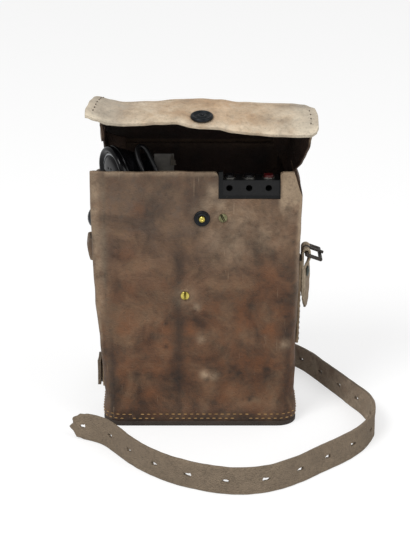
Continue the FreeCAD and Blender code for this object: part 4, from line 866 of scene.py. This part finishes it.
# How far the tired hide has dropped (-) or lifted (+) at the fold and along the free edge, by x.
FOLD_DROP = ((-100, 0.9), (-93, 0.7), (-81, -1.8), (-68, -3.4), (-45, -3), (-23, -2.4), (1, -1), (18, -2),
             (38, -3.8), (60, -3.6), (83, -3.6), (95, -5), (104, -8))
EDGE_DROP = ((-104, 11.5), (-99, 11), (-91, 8.4), (-81, 4.8), (-66, 3.6), (-51, 3.4), (-36, 5.4),
             (-22, 5.6), (-7, 3.4), (1, 2.2), (17, 0.3), (29, -1.6), (51, -3), (73, -3.3), (89, -3.3),
             (101, -3.2), (107, -2.5))
# How far the fold has crept back towards the hinge as well, in this direction.
FOLD_BACK = ((-90, 0), (-68, 1.3), (-45, 1), (-20, 0), (18, 0), (38, 1.6), (60, 2.8), (83, 3.6),
             (95, 4), (104, 4))
BACK_ALONG_Y, BACK_ALONG_Z = 0.636, -0.772
# How much longer than the drawn flap the stretched free edge hangs.
EDGE_LONG = ((-99, 0), (10, 0.5), (40, 3), (70, 5), (96, 5.5), (106, 4))
# The cover's left and right ends, by how far down the flap they are.
LEFT_END = ((0, -93), (0.3, -95.8), (0.6, -99), (0.85, -101.2), (1, -100.6))
RIGHT_END = ((0, 102.5), (0.3, 105), (0.6, 106.2), (0.85, 105.6), (0.95, 103.8), (1, 99.5))
CAP_DOWN = 0.78


def cover_point(u, row):
    # A point of the cover: u runs from its left end to its right, row from the hinge to the free edge.
    top_rows = len(top_line)
    whole_row = min(int(row), COVER_ROWS - 1)
    y, z = Vector(COVER[whole_row]).lerp(Vector(COVER[whole_row + 1]), row - whole_row)
    down = max(0.0, (row - FOLD_ROW) / (COVER_ROWS - FOLD_ROW))
    behind = smooth(top_rows - 2, 6, row)
    left, right = between(LEFT_END, down) + behind * 2.5, between(RIGHT_END, down) - behind * 4.0
    x = left + (right - left) * u
    fold_part = smooth(top_rows - 16, top_rows - 6, row) * (1 - down)
    calm = 1 - exp(-((x - SNAP[0]) / 13) ** 4 - ((down - CAP_DOWN) / 0.22) ** 4)
    drop = between(FOLD_DROP, x) * fold_part + between(EDGE_DROP, x) * down ** 1.3 * calm
    wave = 0.7 * ripple(x, y, z, 34) + (0.5 * ripple(x, 4, z, 13) if down else 0.0)
    hang = (Vector(COVER[-1]) - Vector(COVER[-9])).normalized() * between(EDGE_LONG, x) * down ** 2 * calm
    crept = between(FOLD_BACK, x) * fold_part
    return x, y + hang.x + BACK_ALONG_Y * crept, z + hang.y + BACK_ALONG_Z * crept + drop + wave * calm


def lid_cover():
    bm = sheet(84, COVER_ROWS, lambda u, v: cover_point(u, round(v * COVER_ROWS)), flip=True)

    def wear(x, y, z):
        ends = max(smooth(-88, -103, x), smooth(96, 106, x))
        # Pale along the fold: rubbed wear with a painted highlight.
        fold = bell(y - fold_rest[0] + 2, 4) * (z > 300)
        bleached = 0.5 * smooth(45, 80, x) * smooth(-30, -45, y)
        return min(1.0, max(0.5 * ends + 0.6 * smooth(-66, -78, y) + 0.5 * fold, bleached))

    def grey(x, y, z):
        ends = max(smooth(-40, -84, x), smooth(60, 100, x))
        return 0.2 + 0.7 * ends + 0.25 * smooth(20, -10, y) * (y > fold_rest[0])

    # The lid's inner side takes the near-black flesh-side finish, which is partly painted shade.
    made = piece("lid_leather_cover", bm, None, "lid_leather", [lid_hide, case_lining_with_painted_shade],
                 ("lid_top", "lid_front_flap"), wall=LID_HIDE, edge=0.7, wear=wear, grey=grey,
                 warm=lambda x, y, z: 0.25 + 0.5 * bell(x - 15, 42),
                 soil=lambda x, y, z: 0.12 + 0.6 * near(x, y, ((2.2, -66),), 13) + 0.5 * smooth(24, 37, y))
    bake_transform(made)


lid_cover()


def lid_end_stitches():
    spots = []
    for u, first, last, count in ((0.032, 0.10, 0.80, 8), (0.968, 0.44, 0.78, 4)):
        for i in range(count):
            row = FOLD_ROW + (COVER_ROWS - FOLD_ROW) * (first + (last - first) * i / (count - 1))
            here, on = Vector(cover_point(u, row)), Vector(cover_point(u, row - 1.0))
            beside = Vector(cover_point(u + 0.01, row))
            facing = (beside - here).cross(on - here).normalized()
            spots.append((here + facing * 0.2, on - here, facing))
    stitches("lid_end_stitches", spots, "lid_flap", "lid_leather", dark_thread, length=3.4, width=1.0)


lid_end_stitches()


def hinge_leather():
    # A soft strip sewn to the back and laid over the lid.
    line = [(36.9, 226), (36.9, 236), (37, 246), (37.3, 254), (38, 260), (39.2, 265)]
    line += lid_line(LID_HIDE + 2.3)[1:9]
    at, whole = measured([Vector((0, y, z)) for y, z in line])

    def place(u, v):
        middle, _ = at(v * whole)
        x = (2 * u - 1) * 72.5
        frill = 1.2 * ripple(x, 3, 3, 21) * abs(2 * v - 1) ** 6
        return x, middle.y + 0.35 * ripple(x, 0, middle.z, 18), middle.z + frill

    bm = sheet(60, 40, place, flip=True)
    bmesh.ops.smooth_vert(bm, verts=[v for v in bm.verts if 255 < v.co.z < 275], factor=0.5,
                          use_axis_x=False, use_axis_y=True, use_axis_z=True)
    # The strip's inner side takes the near-black flesh-side finish, which is partly painted shade.
    made = piece("lid_hinge_leather", bm, None, "lid_leather", [side_hide, case_lining_with_painted_shade], ("lid_hinge_strip",),
                 wall=2.0, edge=0.5, wear=lambda x, y, z: 0.4 + 0.5 * bell(z - 262, 6), soil=0.45, warm=0.4,
                 grey=0.2)
    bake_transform(made)
    low = [(Vector((-68 + i * 6.2, 37.3, 229.5)), RIGHT, BACK) for i in range(23)]
    stitches("hinge_stitches_low", low, "case", "leather_case", dark_thread)


hinge_leather()


# Soft gores between the lid's ends and the case, each turning in behind to close the corner at the hinge

GORE_RIGHT_LOW = ((102.3, -38, 289), (100.8, -33, 281), (95, -15, 260), (88, 4, 243), (83, 20, 240),
                  (80, 28, 247), (75, 32.4, 254), (70, 33, 256))
GORE_LEFT_LOW = ((-88.5, -37, 291), (-88.5, -34, 286), (-88.5, -25, 280.5), (-89, -12, 288.5),
                 (-89, 8, 287.5), (-91, 17, 281), (-92.5, 23, 267), (-91, 28, 256), (-84, 32.6, 254),
                 (-70, 33, 256))


def gore_top(front, back):
    # The gore's upper edge lies along the underside of the lid, from under the flap to the hinge.
    # front and back are its x there. The right one sags, so that it stays under the lid's cover.
    under = lid_line(-1.4)
    points = [(front, -36, 300), (front, -30, 307 if front < 0 else 304)]
    for k in (24, 19, 14, 9, 5):
        y, z = under[k]
        sag = 7.0 * (k / 24) ** 2 if front > 0 else 0.0
        points.append((front + (back - front) * (1 - k / 24) ** 2, y, z - sag))
    return points + [(back * 0.86, 32.5, 271), (copysign(70, back), 32, 270)]


def gore(name, node, low, high, way):
    at_low, low_whole = measured(route(low))
    at_high, high_whole = measured(route(high))

    def place(u, v):
        p = at_low(u * low_whole)[0].lerp(at_high(u * high_whole)[0], v)
        slack = smooth(0.0, 0.15, u) * smooth(1.0, 0.8, u)
        return p.x + way * slack * (1.6 * sin(v * 4 + u * 5) + 1.2 * ripple(p.y, 0, p.z, 13)), p.y, p.z

    worn = 0.9 if way > 0 else 0.3
    # The inner side, and on the left gore the cut edge too, take the darker finish, which is partly painted
    # shade.
    made = piece(name, sheet(44, 24, place, flip=way < 0), None, "lid_leather", [gore_hide, gore_lining_with_painted_shade],
                 (node,), wall=2.2, edge=0.5, dark_rim=way < 0,
                 wear=lambda x, y, z: worn * smooth(-31, -36, y) + 0.1, soil=0.4, warm=0.3, grey=0.1)
    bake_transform(made)


gore("lid_gore_right", "lid_gusset_right", GORE_RIGHT_LOW, gore_top(99.5, 84.0), 1)
gore("lid_gore_left", "lid_gusset_left", GORE_LEFT_LOW, gore_top(-90.5, -93.0), -1)


# Strips of leather on the case's sides

def side_wall(way, z, y):
    # The x of the case's side at a height and a depth: way is 1 for the right side and -1 for the left.
    share = (z - SOLE) / (RIM_Z - SOLE)
    if way > 0:
        return BASE_HALF_WIDTH + (RIM_RIGHT - BASE_HALF_WIDTH) * share
    front = -BASE_HALF_WIDTH + (RIM_LEFT_FRONT + BASE_HALF_WIDTH) * share
    rear = -BASE_HALF_WIDTH + (RIM_LEFT_REAR + BASE_HALF_WIDTH) * share
    return front + (rear - front) * (y + HALF_DEPTH) / (2 * HALF_DEPTH)


def side_strip(name, nodes_replaced, way, half, low, high, out=2.9, wall=2.6, frayed=0.0, pitch=0.0):
    # A strip from low to high and half wide to each side. out is how far its face stands off the wall, or
    # a function of the place across it and up it. pitch spaces the stitches along its edges.
    def place(u, v):
        y = (2 * u - 1) * half
        z = low + v * (high - low) + frayed * ripple(y, 4, 1, 4.5) * (1 - v) ** 3
        z += frayed * 0.5 * ripple(y, 9, 2, 5) * v ** 4
        lift = out(y / half, v) if callable(out) else out
        lift += 0.35 * ripple(y, z, 6, 16) + 0.25 * ripple(y, z, 2, 7) * (1 + frayed * 0.3)
        return side_wall(way, z, y) + way * lift, y, z

    def wear(x, y, z):
        return 0.75 * smooth(half * 0.72, half, abs(y)) + 0.5 * smooth(low + 6, low, z) + 0.15

    bm = sheet(16, max(12, round((high - low) / 2.2)), place, flip=way < 0)
    piece(name, bm, "case", "leather_case", [side_hide], nodes_replaced, wall=wall, edge=0.6,
          wear=wear, soil=0.55, warm=0.3, grey=0.35)
    if pitch:
        spots = []
        for side in (-1, 1):
            for i in range(int((high - low - 6) / pitch)):
                y, z = side * (half - 2.4), low + 4 + i * pitch
                spots.append((Vector((side_wall(way, z, y) + way * (out + 0.2), y, z)), UP, RIGHT * way))
        stitches(name + "_stitches", spots, "case", "leather_case", dark_thread, length=3.4, width=0.9)


def loop_height(across, v):
    return 3.0 + 9.6 * smooth(1.0, 0.6, abs(across)) * (0.82 + 0.18 * sin(pi * v))


side_strip("left_keeper_strip", ("left_side_straps",), -1, 11.0, 60.5, 156.0, pitch=5.6)
side_strip("left_strap_patch", (), -1, 12.5, 31.0, 60.0, frayed=2.0)
side_strip("left_slack_loop", ("left_loop",), -1, 15.0, 160.5, 182.0, out=loop_height, wall=2.4)
side_strip("right_keeper_strip", ("right_side_strap",), 1, 11.0, 76.0, 160.0, frayed=1.0, pitch=5.6)

# The buckle's bar, as (x, z), and the chape round it.
BAR = (100.91, 168.0)
CHAPE_HALF = 10.5
CHAPE_LOW = 110.3
CHAPE_BEND = 4.3
RIVET_Z = 146


def chape():
    # A strip doubled round the buckle's bar, with a pointed foot and a slot for the tongue.
    bx, bz = BAR
    path = [(bx - CHAPE_BEND, z) for z in (124.5, 140, 156, bz)]
    for angle in range(18, 180, 18):
        a = radians(angle)
        path.append((bx - CHAPE_BEND * cos(a), bz + CHAPE_BEND * sin(a)))
    path += [(bx + 4.3, bz), (bx + 4.5, 152), (bx + 4.9, 138), (bx + 4.6, 124), (bx + 4.3, CHAPE_LOW)]
    at, whole = measured([Vector((x, 0, z)) for x, z in path])

    def place(u, v):
        middle, _ = at(v * whole)
        y = (2 * u - 1) * CHAPE_HALF * (1 - 0.62 * smooth(whole - 13, whole, v * whole) ** 1.6)
        outer = middle.x > bx
        bow = 0.45 * ripple(y, 0, middle.z, 9) + 0.3 * ripple(y, 5, middle.z, 4)
        # The outer leaf has twisted: its front edge lies against the inner one.
        twist = 3.0 * (1 - y / CHAPE_HALF) * smooth(164, 150, middle.z)
        return middle.x + bow * outer - twist * outer, y, middle.z

    bm = sheet(18, 74, place, flip=True)
    cut_out(bm, lambda c: abs(c.y) < 3.3 and c.z > 163)
    cut_out(bm, lambda c: c.x > bx and abs(c.z - RIVET_Z) < 1.7 and abs(c.y) < 1.7)
    piece("right_chape_leather", bm, "case", "leather_case", [chape_hide], ("right_chape",), wall=2.1,
          edge=0.5, wear=lambda x, y, z: 0.45 + 0.5 * smooth(7, 10.5, abs(y)) + 0.3 * smooth(160, 172, z),
          soil=lambda x, y, z: 0.35 + 0.4 * near(y, z, ((0, RIVET_Z), (0, 118)), 7), warm=0.3, grey=0.5)


chape()


# Turned and moulded pieces

def about(centre, angle):
    # A turn about the line along X through centre, which is (y, z).
    there = shift((0, *centre))
    return there @ turn(angle, "X") @ there.inverted()


def facing_front(x, y, z):
    # Local +X, along which a piece is turned, made to look out of the front.
    return shift((x, y, z)) @ turn(-90, "Z")


LEAN = degrees(atan2(17.0, 172.0))
HANDSET = shift((-83.602, -3.0, 244.0)) @ turn(-LEAN, "Y") @ turn(209, "Z")
# The snap cap is set on the shut flap's inner face, and goes with the open lid.
flap_face = min(arc_through(*FLAP_ARC, 60), key=lambda q: abs(q[1] - SNAP[1]))[0]
ON_FLAP = about(HINGE, OPEN) @ about(FOLD, SPLAY) @ facing_front(SNAP[0], flap_face - 3.0, SNAP[1])

# Each piece: body, slot, finish, node, sides, edge, place, and its outline as pairs (along, radius).
TURNED = {
    # The screwed-on cap: stepped rings on its rim and face, and a dished middle.
    "earpiece_cap_moulding": (
        "handset", "black_moulding", bakelite, "earpiece_cap", 72, 0.25, HANDSET,
        ((-9, 22.6), (-9, 24.9), (-8.6, 25.4), (-6.9, 25.5), (-6.5, 24.9), (-6.1, 24.9), (-5.7, 25.5),
         (-3.4, 25.5), (-2.2, 25.2), (-1, 24.4), (-0.2, 23.2), (0, 22), (-0.6, 20.9), (-2, 19.6),
         (-2.9, 18.4), (-2.9, 17.6), (-2, 16.4), (-1, 14.8), (-0.4, 12.4), (-0.1, 9.6), (0, 6), (0, 0))),
    # A rolled rim, a groove, a raised middle and the eye of its tube.
    "snap_cap_blackened": (
        "lid_flap", "blackened_metal", worn_black_metal, "snap_cap", 56, 0.0, ON_FLAP,
        ((0, 10.2), (0.9, 10.25), (1.9, 9.9), (2.5, 9.1), (2.6, 8.4), (2.2, 7.5), (1.3, 6.9), (1.1, 6),
         (1.3, 5), (2, 4.3), (2.3, 3.4), (2.2, 2.4), (1.7, 1.7), (0.4, 1.3), (-1.6, 1.2))),
    "stud_collar_blackened": (
        "case", "blackened_metal", worn_black_metal, "stud_collar", 48, 0.0,
        facing_front(SNAP[0], -34.1, SNAP[1]),
        ((0, 7.5), (1.2, 7.5), (1.8, 7), (1.9, 6.3), (1.4, 5.8), (1.2, 5), (1.4, 4.3), (1.8, 3.9),
         (1.9, 3.3), (1.2, 2.8), (0, 2.7))),
    "stud_post_brass": (
        "case", "brass", bright_brass, "stud_post", 36, 0.0, facing_front(SNAP[0], -34.0, SNAP[1]),
        ((-4.5, 2.6), (1.9, 2.6), (2.2, 2.45), (2.6, 2.3), (3.1, 2.6), (3.8, 2.8), (4.2, 2.5), (4.5, 1.6),
         (4.4, 0.9), (4, 0.7), (3.9, 0))),
    # A domed stud on the left side.
    "left_dome_blackened": (
        "case", "blackened_metal", worn_black_metal, "left_dome", 48, 0.0,
        shift((side_wall(-1, 200.0, 0), 0, 200.0)) @ turn(180, "Z"),
        ((-1, 10.9), (1.6, 10.9), (4.6, 10.3), (7.2, 9), (9.2, 7), (10.4, 4.6), (11, 2.3), (11.1, 0))),
    "chape_rivet_head": (
        "case", "blackened_metal", green_black_brass, "chape_rivet", 40, 0.0,
        shift((102.4, 0, RIVET_Z)) @ turn(-16, "Z"),
        ((-7.5, 1.6), (0.2, 1.6), (0.2, 4.9), (0.9, 4.9), (1.3, 4.2), (1.2, 3.4), (1.6, 2.6), (2, 1.4),
         (2.1, 0))),
}
for name, (body, slot, finish, node, sides, edge, place, outline) in TURNED.items():
    bm = bmesh.new()
    chain = [bm.verts.new((x, r, 0)) for x, r in outline]
    edges = [bm.edges.new(pair) for pair in zip(chain, chain[1:])]
    bmesh.ops.spin(bm, geom=chain + edges, axis=(1, 0, 0), cent=(0, 0, 0), angle=2 * pi, steps=sides,
                   use_merge=True)
    bmesh.ops.remove_doubles(bm, verts=bm.verts, dist=0.0005)
    bmesh.ops.recalc_face_normals(bm, faces=bm.faces)
    bmesh.ops.transform(bm, matrix=place, verts=bm.verts)
    piece(name, bm, body, slot, [finish], (node,), edge=edge)


def earpiece_holes():
    # The sound holes are near-black discs on the cap's face: painted shade.
    bm = bmesh.new()
    for y, z in [(0.0, 0.0)] + [(5.6 * cos(a * pi / 3), 5.6 * sin(a * pi / 3)) for a in range(6)]:
        bmesh.ops.create_cone(bm, cap_ends=True, segments=14, radius1=1.25, radius2=1.25, depth=0.5,
                              matrix=HANDSET @ shift((-0.1, y, z)) @ turn(90, "Y"))
    piece("earpiece_sound_holes", bm, "handset", "black_moulding", [hole_shade_discs])


def slotted_screw(name, x, z, slot_turn, material, stands_for):
    # A cheese-head screw with a sawn slot.
    radius, tall, slot_half, slot_deep = 4.1, 1.8, 0.55, 0.9
    bm = bmesh.new()
    bmesh.ops.create_cone(bm, cap_ends=True, segments=44, radius1=radius, radius2=radius, depth=tall,
                          matrix=shift((0, 0, tall / 2)))
    for level in (-slot_half, slot_half):
        bmesh.ops.bisect_plane(bm, geom=bm.verts[:] + bm.edges[:] + bm.faces[:], dist=0.001,
                               plane_co=(level, 0, 0), plane_no=(1, 0, 0))
    slot = [f for f in bm.faces if f.normal.z > 0.9 and abs(f.calc_center_median().x) < 0.4]
    pull(bm, slot, (0, 0, -slot_deep))
    bmesh.ops.delete(bm, geom=slot, context="FACES_ONLY")
    rim = [e for e in bm.edges if all(abs(v.co.z - tall) < 0.01 and v.co.xy.length > 4.0 for v in e.verts)]
    bmesh.ops.bevel(bm, geom=rim, offset=0.5, segments=3, profile=0.5, affect="EDGES", material=-1)
    bmesh.ops.recalc_face_normals(bm, faces=bm.faces)
    place = shift((x, -33.9, z)) @ turn(90, "X") @ turn(slot_turn, "Z")
    bmesh.ops.transform(bm, matrix=place, verts=bm.verts)
    piece(name, bm, "case", "brass", [material], stands_for)


def card_flake():
    # A torn scrap of card caught behind the enamelled tab.
    def place(u, v):
        x = -27.0 + (4.8 - 2.2 * v) * u + 1.2 * ripple(v * 9, 2, 1, 2.2) * u
        z = 251.0 + 8.0 * v + 3.0 * ripple(u * 9, 1, 5, 2.0) * v
        return x, 1.4 - 1.6 * v * u + 0.5 * ripple(u * 8, v * 8, 1, 3), z

    piece("card_flake", sheet(10, 12, place), "case", "cell_card", [torn_card], wall=0.5)


earpiece_holes()
slotted_screw("case_screw_upper", *UPPER_SCREW, 27, olive_brass, ("case_screws",))
slotted_screw("case_screw_lower", *LOWER_SCREW, 0, bright_brass, ())
card_flake()


# Finishes of the pieces that stay as they were drawn, each with what it gives the eye

FINISHES = {
    # Warm grey with a slight orange peel and pale chips.
    "chassis_frame partition_plate": hard(
        "hammered_grey_stove_enamel", "5D5A56 716D67", 8.0,
        rough=(0.35, 0.6), relief=0.3, chip="9A9A92", chip_at=0.70),
    # Pale blue-grey metal with a soft gloss.
    "magneto_plates ringer_plate": hard("zinc_plated_sheet", "8D9094 A3A6A8", 12.0, metal=0.85, relief=0.15),
    # Cool dark grey with small chips.
    "top_panel": hard(
        "grey_panel_enamel", "4C504F 606563", 9.0,
        rough=(0.3, 0.55), relief=0.2, chip="8B8C86", chip_at=0.70),
    # Black and pitted, with pale metal at the specks.
    "terminal_bezel": hard(
        "black_japanned_steel", "08090A 101112", 6.0,
        rough=(0.4, 0.6), relief=0.3, chip="8F8A7C", chip_at=0.66, shine=0.2),
    # Dull black with grey dust in its grain.
    "terminal_block": hard(
        "pressed_phenolic_block", "0B0B0C 151516", 5.0,
        rough=(0.4, 0.6), relief=0.25, chip="5B5A55", chip_at=0.69, shine=0.25),
    # Glossy black.
    "line_button_left line_button_middle crank_knob talk_bar mouthpiece_cap handset_handle chassis_gland":
        hard("black_phenolic_moulding", "0A0A0C 161619", 9.0, rough=(0.14, 0.3), shine=0.3),
    # Oxblood red, half glossy.
    "line_button_right": hard("dark_red_phenolic", "3F0A0C 581014", 3.0, rough=(0.25, 0.42), relief=0.15),
    # Warm white metal with brown wear.
    "button_collars ringer_posts": hard(
        "worn_nickel_plate", "C9C7C0 A5A39C", 3.0,
        rough=(0.15, 0.35), metal=1.0, relief=0.15, chip="6E6553"),
    # Nearly black brown, dull.
    "terminal_contacts": hard(
        "darkened_contact_brass", "3A3020 261F15", 3.0, rough=(0.5, 0.7), metal=0.6, relief=0.15),
    # Dull yellow metal.
    "battery_contacts crank_shaft": hard("dull_contact_brass", "B48B3C 8A672A", 4.0, metal=0.95, relief=0.15),
    # Golden, with clear reflections.
    "gong": hard("spun_bell_brass", "C19A4C 9E7B36", 14.0, rough=(0.18, 0.35), metal=1.0, relief=0.08),
    # Black gone green, with pale rubbed specks.
    "snap_socket": hard(
        "greened_black_brass", "2A2E2A 3C443B", 3.0,
        rough=(0.35, 0.55), metal=0.7, relief=0.3, chip="B9B19A", chip_at=0.63),
    # Mid-grey metal with a satin gloss.
    "crank_arm armature_shaft armature_core pole_pieces handset_capsules crank_gear armature_pinion":
        hard("machined_steel", "8B8D8F 6F7173", 7.0, rough=(0.25, 0.42), metal=1.0, relief=0.12),
    # Brown-black metal, pitted, with grey wear.
    "buckle_frame buckle_tongue": hard(
        "rust_darkened_steel", "33302D 4A4440", 4.0,
        rough=(0.35, 0.6), metal=0.8, relief=0.35, chip="77706A", chip_at=0.62),
    # Brick red, chipped to iron.
    "magnets": hard("lacquered_magnet_iron", "6E1F18 571813", 10.0, relief=0.25, chip="3A3634", chip_at=0.72),
    # Bottle green and uneven.
    "ringer_coils induction_coil": hard(
        "varnished_coil_tape", "2C4A33 243B2A", 4.0, rough=(0.45, 0.65), relief=0.4),
    # Dark blue metal.
    "ringer_rocker": hard("blued_spring_steel", "2B3340 39414D", 5.0, rough=(0.25, 0.4), metal=0.9),
    # Brown card, waxy, with pale scuffs.
    "battery_cells": hard(
        "waxed_cell_card", "5B4B38 6E5C45", 8.0, rough=(0.55, 0.8), relief=0.3, chip="8C7A60", chip_at=0.70),
    # Matt black.
    "handset_gland": hard("moulded_rubber_gland", "111112 1D1D1F", 5.0, rough=(0.4, 0.6), relief=0.3),
    # Honey-brown wood with a thin varnish.
    "handset_rest": hard("shellacked_beech_block", "9A7549 7E5C37", 12.0, rough=(0.4, 0.6), relief=0.2),
}
for names, finish in FINISHES.items():
    for name in names.split():
        for index in range(len(nodes[name].data.materials)):
            nodes[name].data.materials[index] = finish
